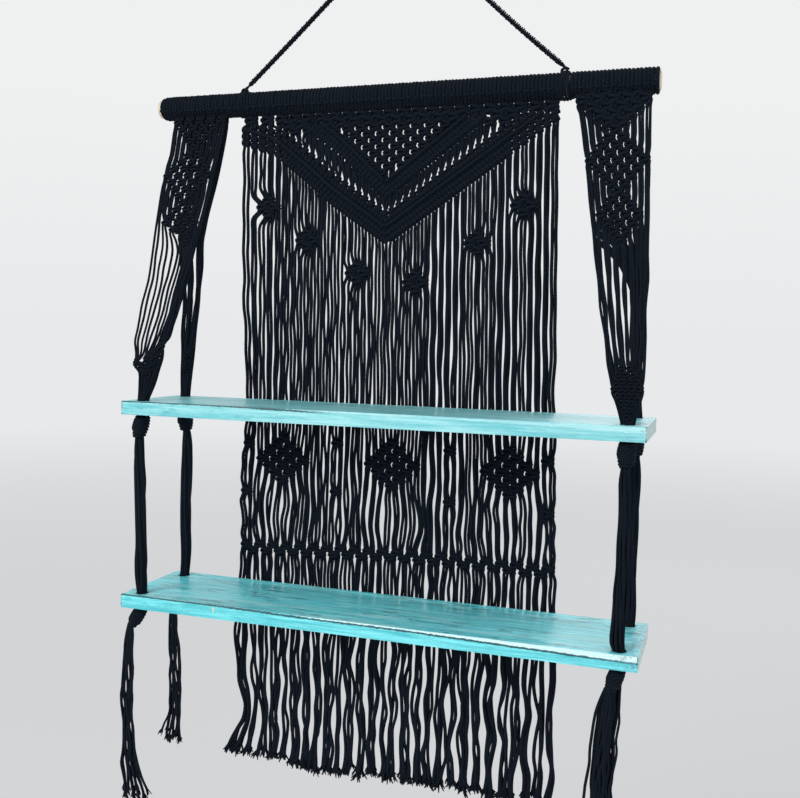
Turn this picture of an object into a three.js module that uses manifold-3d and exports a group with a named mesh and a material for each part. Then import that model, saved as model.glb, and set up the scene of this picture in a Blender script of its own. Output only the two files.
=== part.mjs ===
import * as THREE from 'three';
import { mergeVertices } from 'three/addons/utils/BufferGeometryUtils.js';
import Module from 'manifold-3d';

// A two-board shelf hung from a knotted cotton wall hanging.
// Millimetres, X to the right, the wall at +Y, Z up. The origin is the middle of the hanging eye.

// Cord and dowel
const cordDiameter = 4;
const fit = 0.35;
const dowelDiameter = 22;
const dowelLength = 617;
const dowelEase = 1.2;
const bareEnd = 2.5;
const dowelSides = 10;
const hangDrop = 232;
const wallDistance = 8;

// Hanging eye and its two twisted legs
const eyeRadius = 9;
const eyeCord = 6;
const eyeSteps = 16;
const bindLength = 17;
const bindDiameter = 14;
const legDiameter = 7;
const tieLength = 12;
const tieProud = 1.6;
const roundSides = 8;
const bundleLobes = 5;

// Boards
const boardLength = 600;
const boardDepth = 124;
const boardThickness = 16;
const boardEase = 1.2;
const boardToWall = 10;
const strapDrop = 362;
const shelfSpacing = 230;
const holeDiameter = 15;
const holeFromEnd = 20;
const holeFromEdge = 15;

// What hangs off the middle, as the knotting pulled it
const boardOffset = 3;
const dowelOffset = -13;
const panelOffset = -4;

// Corner straps, knotted of twenty cords each
const strapWidth = 75;
const strapThickness = 6;
const leftBandInset = 61;
const rightBandInset = 47;
const strapTopSpread = 8;
const strapKnotRow = 9.2;
const strapNetTop = 5;
const strapBundle = 13;
const knotDiameter = 22;
const knotHeight = 27;
const pivotClearance = 0.4;
const lowerBundle = 15;

// Centre panel
const panelWidth = 380;
const panelThickness = 5;
const panelKnotPitch = 17.3;
const panelKnotRow = 8;
const headRowHeight = 14;
const netWidthShare = 0.479;
const netDepth = 70;
const innerBand = 20;
const cordBandAtTip = 20;
const outerBand = 38;
const outerWidthShare = 0.868;
const chevronTipOffset = -12;
const chevronSlots = 8;
const pleatDepth = 1.5;
const pleats = 44;
const curtainSlits = 10;
const fringeTufts = 12;
const curtainBreak = 34;
const bandBelowBoard = 182;
const bandHeight = 20;
const clusterSize = 27;
const netDiamondWidth = 66;
const netDiamondHeight = 60;
const netDiamondDrop = 38;
const fringeLength = 236;

// Tails under the lower board
const tailLength = 205;
const tailTopDiameter = 13;
const tailMiddleDiameter = 17;
const tailEndDiameter = 26;

const wasm = await Module();
wasm.setup();

const weld = fit / 1000;
const wrapRadius = dowelDiameter / 2 + cordDiameter;
const dowelY = wallDistance - wrapRadius - fit;
const dowelZ = -hangDrop;
const wrapLeft = dowelOffset - dowelLength / 2 + bareEnd;
const wrapRight = dowelOffset + dowelLength / 2 - bareEnd;
const upperTop = dowelZ - strapDrop;
const lowerTop = upperTop - shelfSpacing;
const boardRearY = wallDistance - boardToWall;
const boardFrontY = boardRearY - boardDepth;
const frontHoleY = boardFrontY + holeFromEdge;
const rearHoleY = boardRearY - holeFromEdge;
const holeX = boardLength / 2 - holeFromEnd;

const cotton = { color: 0x10141c, roughness: 0.85, metalness: 0 };
const paleWood = { color: 0xd9b48a, roughness: 0.6, metalness: 0 };
const paintedWood = { color: 0x63c7c4, roughness: 0.45, metalness: 0 };

const hangingShelf = new THREE.Group();

function addPiece(name, geometry, finish, parent = hangingShelf) {
  const mesh = new THREE.Mesh(geometry, new THREE.MeshStandardMaterial(finish));
  mesh.name = name;
  parent.add(mesh);
  return mesh;
}

// Geometry helpers

function toSolid(geometry) {
  const bare = geometry.clone();
  for (const name of Object.keys(bare.attributes)) {
    if (name !== 'position') bare.deleteAttribute(name);
  }
  const merged = mergeVertices(bare, weld);
  return new wasm.Manifold(new wasm.Mesh({
    numProp: 3,
    vertProperties: new Float32Array(merged.attributes.position.array),
    triVerts: new Uint32Array(merged.index.array),
  }));
}

function toGeometry(solid) {
  const mesh = solid.getMesh();
  const geometry = new THREE.BufferGeometry();
  geometry.setAttribute('position', new THREE.BufferAttribute(new Float32Array(mesh.vertProperties), 3));
  geometry.setIndex(new THREE.BufferAttribute(new Uint32Array(mesh.triVerts), 1));
  geometry.computeVertexNormals();
  return geometry;
}

function shapeOf(points) {
  return new THREE.Shape(points.map(([x, z]) => new THREE.Vector2(x, z)));
}

// A flat plate in the XZ plane, its thickness centred on y = 0.
function blankPlate(outline, thickness) {
  const geometry = new THREE.ExtrudeGeometry(shapeOf(outline), { depth: thickness, bevelEnabled: false });
  geometry.translate(0, 0, -thickness / 2);
  geometry.rotateX(Math.PI / 2);
  return geometry;
}

function plate(outline, holes, thickness) {
  const blank = toSolid(blankPlate(outline, thickness));
  if (!holes.length) return toGeometry(blank);
  const cuts = holes.map((hole) => toSolid(blankPlate(hole, thickness * 2)));
  return toGeometry(blank.subtract(wasm.Manifold.union(cuts)));
}

// A closed ring solid about the X axis from a list of [along, radius] points.
function turnedAboutX(points, sides) {
  const profile = points.map(([along, radius]) => new THREE.Vector2(radius, along));
  const geometry = new THREE.LatheGeometry(profile, sides);
  geometry.rotateZ(-Math.PI / 2);
  return geometry;
}

// A solid about the Z axis from a list of [height, radius] points, from the bottom up.
function turnedAboutZ(points, sides) {
  const profile = points.map(([height, radius]) => new THREE.Vector2(radius, height));
  const geometry = new THREE.LatheGeometry(profile, sides);
  geometry.rotateX(Math.PI / 2);
  return geometry;
}

// A ribbed sleeve on the dowel between two places along it, one rib for each knot.
function ribbedSleeve(from, to, ribs, outer) {
  const bore = dowelDiameter / 2 + fit;
  const valley = outer - cordDiameter * 0.4;
  const ribLength = (to - from) / ribs;
  const points = [[from, bore]];
  for (let rib = 0; rib < ribs; rib += 1) {
    points.push([from + rib * ribLength, valley], [from + (rib + 0.5) * ribLength, outer]);
  }
  points.push([to, valley], [to, bore], [from, bore]);
  return turnedAboutX(points, dowelSides).translate(0, dowelY, dowelZ);
}

// A bundle of cords: a lobed loft about the Z axis from [height, radius] rows, from the bottom up.
function bundle(rows, lobes, turnShare) {
  const sides = lobes * 2;
  const [low] = rows[0];
  const [high] = rows[rows.length - 1];
  const points = [];
  for (const [height, radius] of rows) {
    const turn = (turnShare * Math.PI * 2 * (height - low)) / (high - low);
    for (let side = 0; side < sides; side += 1) {
      const reach = radius * (side % 2 ? 0.84 : 1);
      const angle = turn + (side / sides) * Math.PI * 2;
      points.push(reach * Math.cos(angle), reach * Math.sin(angle), height);
    }
  }
  points.push(0, 0, low, 0, 0, high);
  const bottom = rows.length * sides;
  const triangles = [];
  for (let side = 0; side < sides; side += 1) {
    const next = (side + 1) % sides;
    for (let row = 0; row < rows.length - 1; row += 1) {
      const here = row * sides;
      const above = here + sides;
      triangles.push(here + side, here + next, above + next, here + side, above + next, above + side);
    }
    const last = (rows.length - 1) * sides;
    triangles.push(bottom, next, side, bottom + 1, last + side, last + next);
  }
  const geometry = new THREE.BufferGeometry();
  geometry.setAttribute('position', new THREE.Float32BufferAttribute(points, 3));
  geometry.setIndex(triangles);
  geometry.computeVertexNormals();
  return geometry;
}

// A tube along a smooth route.
function tubeAlong(points, diameter, steps) {
  const section = [];
  for (let side = 0; side < roundSides; side += 1) {
    const angle = (side / roundSides) * Math.PI * 2;
    section.push([(Math.cos(angle) * diameter) / 2, (Math.sin(angle) * diameter) / 2]);
  }
  const extrudePath = new THREE.CatmullRomCurve3(points.map((point) => new THREE.Vector3(...point)));
  return new THREE.ExtrudeGeometry(shapeOf(section), { steps, extrudePath, bevelEnabled: false });
}

function between(table, at) {
  for (let i = 1; i < table.length; i += 1) {
    const [from, low] = table[i - 1];
    const [to, high] = table[i];
    if (at <= to) return low + ((high - low) * (at - from)) / (to - from);
  }
  return table[table.length - 1][1];
}

// Hanging eye, its binding and the two legs

const eyeBottom = -(eyeRadius + eyeCord / 2);
const bindTop = eyeBottom - fit;
const bindBottom = bindTop - bindLength;
const tieReach = (panelWidth + tieLength) / 2 + fit;
const tieX = [panelOffset - tieReach, panelOffset + tieReach];

function makeHanger() {
  const eye = new THREE.TorusGeometry(eyeRadius, eyeCord / 2, roundSides - 2, eyeSteps);
  addPiece('hanging_eye', eye.rotateX(Math.PI / 2), cotton);

  const bindShares = [[0, 0], [0, 0.4], [0.14, 0.5], [0.28, 0.42], [0.42, 0.5], [0.56, 0.42],
    [0.7, 0.5], [0.84, 0.42], [1, 0.36], [1, 0]];
  const rows = bindShares.map(([up, out]) => [bindBottom + up * bindLength, out * bindDiameter]);
  addPiece('eye_binding', turnedAboutZ(rows, roundSides), cotton);

  // Each leg ends with the lowest point of its cut face just over the middle of its tie.
  const radius = legDiameter / 2;
  const tieTop = dowelZ + wrapRadius + tieProud;
  ['left', 'right'].forEach((side, index) => {
    const sign = index ? 1 : -1;
    const head = new THREE.Vector3(sign * (radius + fit), 0, bindBottom - fit - radius / 2);
    const seat = new THREE.Vector3(tieX[index], dowelY, tieTop + fit);
    const up = new THREE.Vector3().subVectors(head, seat).normalize();
    const foot = seat.clone().add(new THREE.Vector3(sign * up.z, 0, Math.abs(up.x)).multiplyScalar(radius));
    const steps = Math.round(head.distanceTo(foot) / (legDiameter * 2.5));
    const ends = [head.toArray(), foot.toArray()];
    addPiece(`hanger_leg_${side}`, tubeAlong(ends, legDiameter, steps), cotton);
  });
}

// Dowel and what is tied on it

function makeDowel() {
  const half = dowelLength / 2;
  const radius = dowelDiameter / 2;
  const rod = turnedAboutX([[-half, 0], [-half, radius - dowelEase], [-half + dowelEase, radius],
    [half - dowelEase, radius], [half, radius - dowelEase], [half, 0]], dowelSides);
  addPiece('dowel', rod.translate(dowelOffset, dowelY, dowelZ), paleWood);

  const ties = tieX.map((x) => [x - tieLength / 2, x + tieLength / 2]);
  const knotLength = panelWidth / pleats;
  const sleeves = [['dowel_knots_left', wrapLeft, ties[0][0] - fit],
    ['dowel_knots_centre', ties[0][1] + fit, ties[1][0] - fit],
    ['dowel_knots_right', ties[1][1] + fit, wrapRight]];
  for (const [name, from, to] of sleeves) {
    addPiece(name, ribbedSleeve(from, to, Math.round((to - from) / knotLength), wrapRadius), cotton);
  }
  ['left', 'right'].forEach((side, index) => {
    const [from, to] = ties[index];
    addPiece(`leg_tie_${side}`, ribbedSleeve(from, to, 3, wrapRadius + tieProud), cotton);
  });
}

// Centre panel: a leaning group above the upper board, and hanging plumb below it

const panelTop = dowelZ - wrapRadius - fit;
const panelFootZ = upperTop - curtainBreak;
const panelFootY = wallDistance - panelThickness;
const spreadShares = [[0, 1], [0.64, 1.03], [1, 1.07]];
const boardShare = (panelTop - panelFootZ) / (panelTop - upperTop + bandBelowBoard);
const leaningPanel = new THREE.Group();
leaningPanel.position.set(panelOffset, dowelY, panelTop);
leaningPanel.rotation.x = Math.atan2(panelFootY - dowelY, panelTop - panelFootZ);
const plumbPanel = new THREE.Group();
plumbPanel.position.set(panelOffset, panelFootY, 0);
hangingShelf.add(leaningPanel, plumbPanel);

const headBottom = -headRowHeight;
const netTip = headBottom - netDepth;
const innerTip = netTip - innerBand;
const outerTopTip = innerTip - cordBandAtTip;
const outerTip = outerTopTip - outerBand;
const curtainFoot = -Math.hypot(panelFootY - dowelY, panelTop - panelFootZ);
const halfPanel = panelWidth / 2;
const gap = fit;

// Half widths of the three V lines where they meet the row of knots under the dowel
const netHalf = halfPanel * netWidthShare;
const innerHalf = (netHalf * (headBottom - innerTip)) / netDepth;
const outerHalf = halfPanel * outerWidthShare;

// The height of a V line at x, from half its width at the row of knots and the height of its tip.
function vLine(half, tip, x) {
  const side = x < chevronTipOffset ? half + chevronTipOffset : half - chevronTipOffset;
  return tip + ((headBottom - tip) * Math.abs(x - chevronTipOffset)) / side;
}

// How far the panel has spread at a height, as a share of its width under the dowel.
function spreadAt(share) {
  return between(spreadShares, share);
}

function diamond(x, z, halfWidth, halfHeight) {
  return [[x - halfWidth, z], [x, z - halfHeight], [x + halfWidth, z], [x, z + halfHeight]];
}

// The flat outline of a V band between two V lines, cut off at the row of knots.
function vBand(topHalf, topTip, lowHalf, lowTip, ceiling) {
  const tipX = chevronTipOffset;
  return [[-lowHalf, ceiling], [tipX, lowTip], [lowHalf, ceiling], [topHalf, ceiling],
    [tipX, topTip], [-topHalf, ceiling]];
}

// One point for each knot along an edge.
function knotEdge(from, to, count, edge, drop) {
  const points = [];
  const step = (to - from) / count;
  for (let i = 0; i < count; i += 1) {
    points.push([from + i * step, edge], [from + (i + 0.5) * step, edge + drop]);
  }
  points.push([to, edge]);
  return points;
}

const netGapWidth = panelKnotPitch * 0.19;
const netGapHeight = panelKnotRow * 0.4;

const sideLow = headBottom - outerBand * 0.55;

function makePanelTop() {
  const knots = Math.round(panelWidth / panelKnotPitch);
  const headOutline = knotEdge(-halfPanel, halfPanel, knots, headBottom + gap * 2, -gap)
    .concat([[halfPanel, 0], [-halfPanel, 0]]);
  addPiece('panel_head_row', plate(headOutline, [], cordDiameter * 2), cotton, leaningPanel);

  const ceiling = headBottom - gap;
  const netHoles = [];
  const rows = Math.floor(netDepth / panelKnotRow) - 1;
  for (let row = 0; row < rows; row += 1) {
    const z = netTip + (row + 2) * panelKnotRow;
    const shift = (chevronTipOffset * (headBottom - z)) / netDepth;
    for (let i = 0; i < row + 1; i += 1) {
      netHoles.push(diamond(shift + (i - row / 2) * panelKnotPitch, z, netGapWidth, netGapHeight));
    }
  }
  const netOutline = [[-netHalf + gap * 2, ceiling], [chevronTipOffset, netTip + gap * 2],
    [netHalf - gap * 2, ceiling]];
  addPiece('net_triangle', plate(netOutline, netHoles, cordDiameter * 1.5), cotton, leaningPanel);

  const inner = vBand(netHalf, netTip, innerHalf, innerTip, ceiling);
  addPiece('inner_chevron', plate(inner, [], cordDiameter * 2), cotton, leaningPanel);

  const cordHoles = [];
  const half = cordDiameter * 0.3;
  for (const sign of [-1, 1]) {
    for (let i = 1; i <= chevronSlots; i += 1) {
      const reach = innerHalf - sign * chevronTipOffset;
      const x = chevronTipOffset + (sign * i * reach * 0.98) / chevronSlots;
      const top = Math.min(vLine(innerHalf, innerTip, x), ceiling) - cordDiameter;
      const foot = vLine(outerHalf, outerTopTip, x) + cordDiameter;
      cordHoles.push([[x - half, foot - half * sign], [x + half, foot + half * sign],
        [x + half, top], [x - half, top]]);
    }
  }
  const cords = vBand(innerHalf + gap * 2, innerTip - gap * 2, outerHalf - gap * 2, outerTopTip, ceiling);
  addPiece('chevron_cords', plate(cords, cordHoles, cordDiameter), cotton, leaningPanel);

  const tipX = chevronTipOffset;
  const outer = [[-halfPanel, ceiling], [-halfPanel, sideLow], [tipX, outerTip], [halfPanel, sideLow],
    [halfPanel, ceiling], [outerHalf, ceiling], [tipX, outerTopTip - gap * 2], [-outerHalf, ceiling]];
  addPiece('outer_chevron', plate(outer, [], cordDiameter * 2), cotton, leaningPanel);
}

// A pleated curtain between two heights, as a solid with flat ends that widens by two shares.
function pleatedSheet(top, bottom, topShare, bottomShare) {
  const step = panelWidth / pleats;
  const back = panelThickness / 2;
  const points = [[halfPanel, back], [-halfPanel, back]];
  for (let i = 0; i < pleats; i += 1) {
    const x = -halfPanel + i * step;
    points.push([x, pleatDepth - back], [x + step / 2, -back]);
  }
  points.push([halfPanel, pleatDepth - back]);
  const depth = top - bottom;
  const sheet = new THREE.ExtrudeGeometry(shapeOf(points.reverse()), { depth, bevelEnabled: false });
  const position = sheet.attributes.position;
  for (let i = 0; i < position.count; i += 1) {
    const share = position.getZ(i) > depth / 2 ? topShare : bottomShare;
    position.setX(i, position.getX(i) * share);
  }
  return toSolid(sheet.translate(0, 0, bottom));
}

function cutter(outline) {
  return toSolid(blankPlate(outline, panelThickness * 3));
}

// The slits that part the cords, between two heights given by a function of x.
function cutSlits(sheet, share, lowAt, highAt) {
  let result = sheet;
  const half = cordDiameter * 0.35;
  for (let i = 1; i <= curtainSlits; i += 1) {
    const pleat = Math.round((i * pleats) / (curtainSlits + 1));
    const x = (-halfPanel + pleat * (panelWidth / pleats)) * share;
    const [low, high] = [lowAt(x), highAt(x)];
    result = result.subtract(cutter([[x - half, low], [x, low - half], [x + half, low],
      [x + half, high], [x, high + half], [x - half, high]]));
  }
  return result;
}

// Places of the six knot clusters and three net diamonds, as shares of half the panel's width
// and of the length of cord below the tip of the chevrons.
const clusterShares = [[-0.88, -0.36], [-0.6, -0.08], [-0.25, 0.13], [0.14, 0.2], [0.53, -0.04],
  [0.81, -0.27]];
const netDiamondGapShares = [[0.28, 0], [0.14, 1], [0, 2], [-0.14, 1], [-0.28, 0]];
const netDiamondShares = [-0.74, -0.01, 0.75];

function clusterPlace([across, down]) {
  return [across * halfPanel, outerTip + down * (curtainFoot - outerTip)];
}

function clusterOutline(x, z, size) {
  const half = size / 2;
  return [[-1, 0], [-0.5, -0.55], [0, -1], [0.5, -0.55], [1, 0], [0.5, 0.55], [0, 1], [-0.5, 0.55]]
    .map(([across, up]) => [x + across * half, z + up * half]);
}

function makeCurtain() {
  const tipX = chevronTipOffset;
  const lineAt = (x) => {
    const side = x < tipX ? halfPanel + tipX : halfPanel - tipX;
    return outerTip + ((sideLow - outerTip) * Math.abs(x - tipX)) / side;
  };
  let upper = pleatedSheet(sideLow, curtainFoot, 1, spreadAt(boardShare));
  upper = upper.subtract(cutter([[-panelWidth, sideLow + panelWidth],
    [-panelWidth, lineAt(-panelWidth) - gap], [tipX, outerTip - gap],
    [panelWidth, lineAt(panelWidth) - gap], [panelWidth, sideLow + panelWidth]]));
  upper = cutSlits(upper, spreadAt(boardShare / 2), () => curtainFoot + clusterSize,
    (x) => lineAt(x) - clusterSize * 2.6);
  clusterShares.forEach((shares) => {
    const [x, z] = clusterPlace(shares);
    upper = upper.subtract(cutter(clusterOutline(x, z, clusterSize + gap * 2)));
  });
  addPiece('curtain_upper', toGeometry(upper), cotton, leaningPanel);
  clusterShares.forEach((shares, index) => {
    const [x, z] = clusterPlace(shares);
    const hole = diamond(x, z, netGapWidth, netGapHeight);
    const cluster = plate(clusterOutline(x, z, clusterSize), [hole], cordDiameter * 2.4);
    addPiece(`knot_cluster_${index + 1}`, cluster.translate(0, -cordDiameter * 0.5, 0), cotton,
      leaningPanel);
  });
}

const bandTopZ = upperTop - bandBelowBoard;
const bandBottomZ = bandTopZ - bandHeight;
const fringeTopZ = lowerTop - boardThickness - cordDiameter * 1.5;

function netDiamondOutline(x, z, width, height) {
  return [[-0.5, 0], [-0.1, -0.46], [0.1, -0.46], [0.5, 0], [0.1, 0.46], [-0.1, 0.46]]
    .map(([across, up]) => [x + across * width, z + up * height]);
}

function makeMiddleCurtain() {
  const top = panelFootZ - gap * 2;
  let sheet = pleatedSheet(top, bandTopZ + gap, spreadAt(boardShare), spreadAt(1));
  const netZ = top - netDiamondDrop;
  const places = netDiamondShares.map((share) => share * halfPanel);
  sheet = cutSlits(sheet, spreadAt(boardShare), () => bandTopZ + bandHeight,
    () => netZ - netDiamondHeight * 0.7);
  places.forEach((x) => {
    const grow = gap * 2;
    sheet = sheet.subtract(cutter(netDiamondOutline(x, netZ, netDiamondWidth + grow,
      netDiamondHeight + grow)));
  });
  addPiece('curtain_middle', toGeometry(sheet), cotton, plumbPanel);

  ['left', 'centre', 'right'].forEach((name, index) => {
    const x = places[index];
    const holes = [];
    netDiamondGapShares.forEach(([up, count]) => {
      for (let i = 0; i <= count; i += 1) {
        const across = x + (i - count / 2) * panelKnotPitch;
        holes.push(diamond(across, netZ + up * netDiamondHeight, netGapWidth, netGapHeight));
      }
    });
    const outline = netDiamondOutline(x, netZ, netDiamondWidth, netDiamondHeight);
    addPiece(`net_diamond_${name}`, plate(outline, holes, cordDiameter * 1.5), cotton, plumbPanel);
  });
}

function makeBandAndFringe() {
  const knots = Math.round(panelWidth / panelKnotPitch);
  const spread = spreadAt(1);
  const halfBand = halfPanel * spread;
  const low = knotEdge(-halfBand, halfBand, knots, bandBottomZ + cordDiameter, -cordDiameter);
  const high = knotEdge(halfBand, -halfBand, knots, bandTopZ - cordDiameter, cordDiameter);
  const holes = [];
  for (let i = 1; i < knots; i += 2) {
    const x = -halfBand + i * ((halfBand * 2) / knots);
    holes.push(diamond(x, (bandTopZ + bandBottomZ) / 2, netGapWidth, netGapHeight));
  }
  addPiece('knot_band', plate(low.concat(high), holes, cordDiameter * 2), cotton, plumbPanel);
  const lower = pleatedSheet(bandBottomZ - gap, fringeTopZ + gap, spread, spread);
  addPiece('curtain_lower', toGeometry(lower), cotton, plumbPanel);

  // The free fringe hangs from a rounded top edge, so it can swing forward under the lower board.
  const round = panelThickness / 2;
  let fringe = pleatedSheet(fringeTopZ - round, fringeTopZ - fringeLength, spread, spread);
  const edgeShares = [[0.92, 0.38], [0.7, 0.7], [0.38, 0.92]];
  const edge = edgeShares.map(([y, z]) => [y * round, z * round]);
  const rim = [[-round, 0], ...edge.map(([y, z]) => [-y, z]), ...edge.reverse(), [round, 0]];
  const rimGeometry = new THREE.ExtrudeGeometry(shapeOf(rim.reverse()),
    { depth: halfBand * 2, bevelEnabled: false });
  rimGeometry.rotateX(Math.PI / 2).rotateZ(Math.PI / 2);
  rimGeometry.translate(-halfBand, 0, fringeTopZ - round);
  fringe = fringe.add(toSolid(rimGeometry));
  const tuftWidth = (halfBand * 2) / fringeTufts;
  const tuftShares = [0.1, 0.02, 0.08, 0.03, 0.12, 0.02, 0.05, 0.09, 0, 0.06, 0.01, 0.04];
  for (let i = 1; i < fringeTufts; i += 1) {
    const x = -halfBand + i * tuftWidth;
    const foot = fringeTopZ - fringeLength;
    const half = tuftWidth * 0.16;
    fringe = fringe.subtract(cutter([[x - half, foot - half], [x + half, foot - half],
      [x + half * 0.4, foot + fringeLength * 0.55], [x, foot + fringeLength * 0.75],
      [x - half * 0.4, foot + fringeLength * 0.55]]));
  }
  tuftShares.forEach((share, i) => {
    const x = -halfBand + i * tuftWidth;
    const foot = fringeTopZ - fringeLength;
    const rise = share * fringeLength;
    fringe = fringe.subtract(cutter([[x - gap, foot - gap], [x + tuftWidth + gap, foot - gap],
      [x + tuftWidth + gap, foot + rise + tuftWidth * 0.3], [x + tuftWidth / 2, foot + rise],
      [x - gap, foot + rise + tuftWidth * 0.3]]));
  });
  addPiece('fringe', toGeometry(fringe), cotton, plumbPanel);
}

// Corner straps: a flat knotted net that narrows to a round bundle through the board

const widthShares = [[0, 1], [0.18, 0.92], [0.26, 0.92], [0.39, 0.88], [0.49, 0.85], [0.55, 0.73],
  [0.64, 0.69], [0.73, 0.59], [0.82, 0.45], [0.87, 0.37], [0.94, 0.25], [1, 0.17]];
const knotRows = [5, 4, 3, 2, 1, 2, 3, 4, 5, 4, 3, 2, 1, 2, 3, 4, 3, 2, 1];
const knotsAcross = 5;
const gapHalfShare = 0.17;
const looseSlitShares = [-1.7, -1, -0.3, 0.4, 1.1, 1.8];
const gatherGapShares = [0.84, 0.88];

function strapNet(length) {
  const halfAt = (down) => (strapWidth / 2) * between(widthShares, down / length);
  const at = (column, down) => [(column / knotsAcross) * 2 * halfAt(down), -down];
  const outline = widthShares.map(([down, across]) => [-across * strapWidth / 2, -down * length])
    .concat(widthShares.slice().reverse().map(([down, across]) => [across * strapWidth / 2,
      -down * length]));
  const holes = [];
  const rowAt = (row) => strapNetTop + row * strapKnotRow;
  const gapTall = strapKnotRow * 0.34;
  const knotGap = (column, down) => {
    holes.push([at(column - gapHalfShare, down), at(column, down + gapTall),
      at(column + gapHalfShare, down), at(column, down - gapTall)]);
  };
  const slit = (column, from, to) => {
    const half = gapHalfShare * 0.6;
    holes.push([at(column - half, from), at(column - half, to), at(column + half, to),
      at(column + half, from)]);
  };
  knotRows.forEach((count, row) => {
    for (let i = 1; i < count; i += 1) knotGap(i - count / 2, rowAt(row));
    if (count > 1 || row + 1 === knotRows.length) return;
    for (const side of [-1, 1]) slit(side * 1.6, rowAt(row - 1.5), rowAt(row + 1.5));
  });
  looseSlitShares.forEach((column) => slit(column, length * 0.57, length * 0.79));
  gatherGapShares.forEach((share) => knotGap(0, share * length));
  return plate(outline, holes, strapThickness);
}

const corners = [];
for (const [endName, endSign] of [['left', -1], ['right', 1]]) {
  for (const [rowName, holeY, topSign] of [['front', frontHoleY, -1], ['rear', rearHoleY, 1]]) {
    corners.push({
      name: `${rowName}_${endName}`,
      endSign,
      topX: endSign < 0 ? wrapLeft + leftBandInset : wrapRight - rightBandInset,
      topY: dowelY + topSign * strapTopSpread,
      x: boardOffset + endSign * holeX,
      y: holeY,
    });
  }
}

function makeStrap(corner) {
  const innerEdge = strapTopSpread - strapThickness / 2;
  const topZ = dowelZ - Math.sqrt((wrapRadius + fit) ** 2 - innerEdge ** 2);
  const foot = new THREE.Vector3(corner.x, corner.y, upperTop + strapBundle);
  const head = new THREE.Vector3(corner.topX, corner.topY, topZ);
  const down = new THREE.Vector3().subVectors(foot, head);
  const length = down.length();
  const up = down.clone().multiplyScalar(-1 / length);
  const across = new THREE.Vector3(1, 0, 0);
  const through = new THREE.Vector3().crossVectors(up, across).normalize();
  const place = new THREE.Matrix4().makeBasis(across, through, up).setPosition(head);
  const net = toSolid(strapNet(length).applyMatrix4(place));
  const radius = strapBundle / 2;
  const bottom = upperTop - boardThickness;
  const stem = bundle([[bottom, radius], [upperTop + strapBundle, radius],
    [upperTop + strapBundle * 1.8, radius * 0.7]], bundleLobes, 0);
  const whole = net.add(toSolid(stem.translate(corner.x, corner.y, 0)));
  addPiece(`strap_${corner.name}`, toGeometry(whole), cotton);
}

const stopperShares = [[0, 0], [0, 0.3], [0.3, 0.46], [0.5, 0.5], [0.68, 0.44], [0.78, 0.34],
  [1, 0.37], [1, 0]];

function knotRowsFrom(top) {
  return stopperShares.map(([up, out]) => [top - knotHeight * (1 - up), out * knotDiameter]);
}

const stopperTop = upperTop - boardThickness - fit;
const stopperFoot = stopperTop - knotHeight;
const domeShares = [[0, 1], [0.6, 0.78], [0.95, 0.25]];
const upperPivotZ = stopperFoot - pivotClearance - strapBundle / 2;
const lowerPivotZ = lowerTop + pivotClearance + strapBundle / 2;

function makeLowerStrap(corner) {
  const knot = turnedAboutZ(knotRowsFrom(stopperTop), roundSides);
  addPiece(`stopper_knot_${corner.name}`, knot.translate(corner.x, corner.y, 0), cotton);

  const radius = strapBundle / 2;
  const reach = upperPivotZ - lowerPivotZ;
  const rows = [...domeShares].reverse().map(([up, out]) => [lowerPivotZ - up * radius, out * radius])
    .concat([[lowerPivotZ + reach * 0.3, lowerBundle / 2], [lowerPivotZ + reach * 0.7, lowerBundle / 2]])
    .concat(domeShares.map(([up, out]) => [upperPivotZ + up * radius, out * radius]));
  const cords = bundle(rows, bundleLobes, 0.25);
  addPiece(`lower_strap_${corner.name}`, cords.translate(corner.x, corner.y, 0), cotton);
}

const lowerKnotTop = lowerTop - boardThickness - fit;
const lowerKnotFoot = lowerKnotTop - knotHeight;
const tailPivotZ = lowerKnotFoot - pivotClearance - tailTopDiameter / 2;
const tailLeanShares = { front_left: -0.6, rear_left: -0.7, front_right: -0.3, rear_right: -0.3 };

function makeLowerKnot(corner) {
  const lean = tailLeanShares[corner.name] * knotDiameter;
  const radius = strapBundle / 2;
  const rows = knotRowsFrom(lowerKnotTop).slice(0, -1);
  const knot = turnedAboutZ([...rows, [lowerKnotTop, radius], [lowerTop, radius], [lowerTop, 0]],
    roundSides);
  const position = knot.attributes.position;
  for (let i = 0; i < position.count; i += 1) {
    const below = Math.max(0, lowerKnotTop - position.getZ(i)) / knotHeight;
    position.setX(i, position.getX(i) + lean * below);
  }
  addPiece(`lower_knot_${corner.name}`, knot.translate(corner.x, corner.y, 0), cotton);
}

const tailShares = [[0.08, 0.62], [0.25, 0.9], [0.55, 1]];
const tailEndShares = { front_left: 1, rear_left: 0.78, front_right: 0.98, rear_right: 0.8 };

function makeTail(corner) {
  const lean = tailLeanShares[corner.name] * knotDiameter;
  const length = tailLength * tailEndShares[corner.name];
  const radius = tailTopDiameter / 2;
  const bodyRows = tailShares.map(([share, out]) => [tailPivotZ - share * length,
    (out * tailMiddleDiameter) / 2]);
  const rows = [[tailPivotZ - length * 0.9, tailEndDiameter * 0.46], ...bodyRows.reverse(),
    ...domeShares.map(([up, out]) => [tailPivotZ + up * radius, out * radius])];
  let tail = toSolid(bundle(rows, bundleLobes, 0.2));
  for (let i = 0; i < bundleLobes; i += 1) {
    const angle = (i / bundleLobes) * Math.PI * 2;
    const low = i % 2 ? length * 0.96 : length;
    const strand = bundle([[0, cordDiameter * 0.2], [low * 0.1, cordDiameter * 0.7],
      [low * 0.2, cordDiameter * 0.5]], 3, 0);
    const out = tailEndDiameter / 2 - cordDiameter * 0.7;
    strand.translate(out * Math.cos(angle), out * Math.sin(angle), tailPivotZ - low);
    tail = tail.add(toSolid(strand));
  }
  addPiece(`tail_${corner.name}`, toGeometry(tail.translate([corner.x + lean, corner.y, 0])), cotton);
}

// Boards

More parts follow.
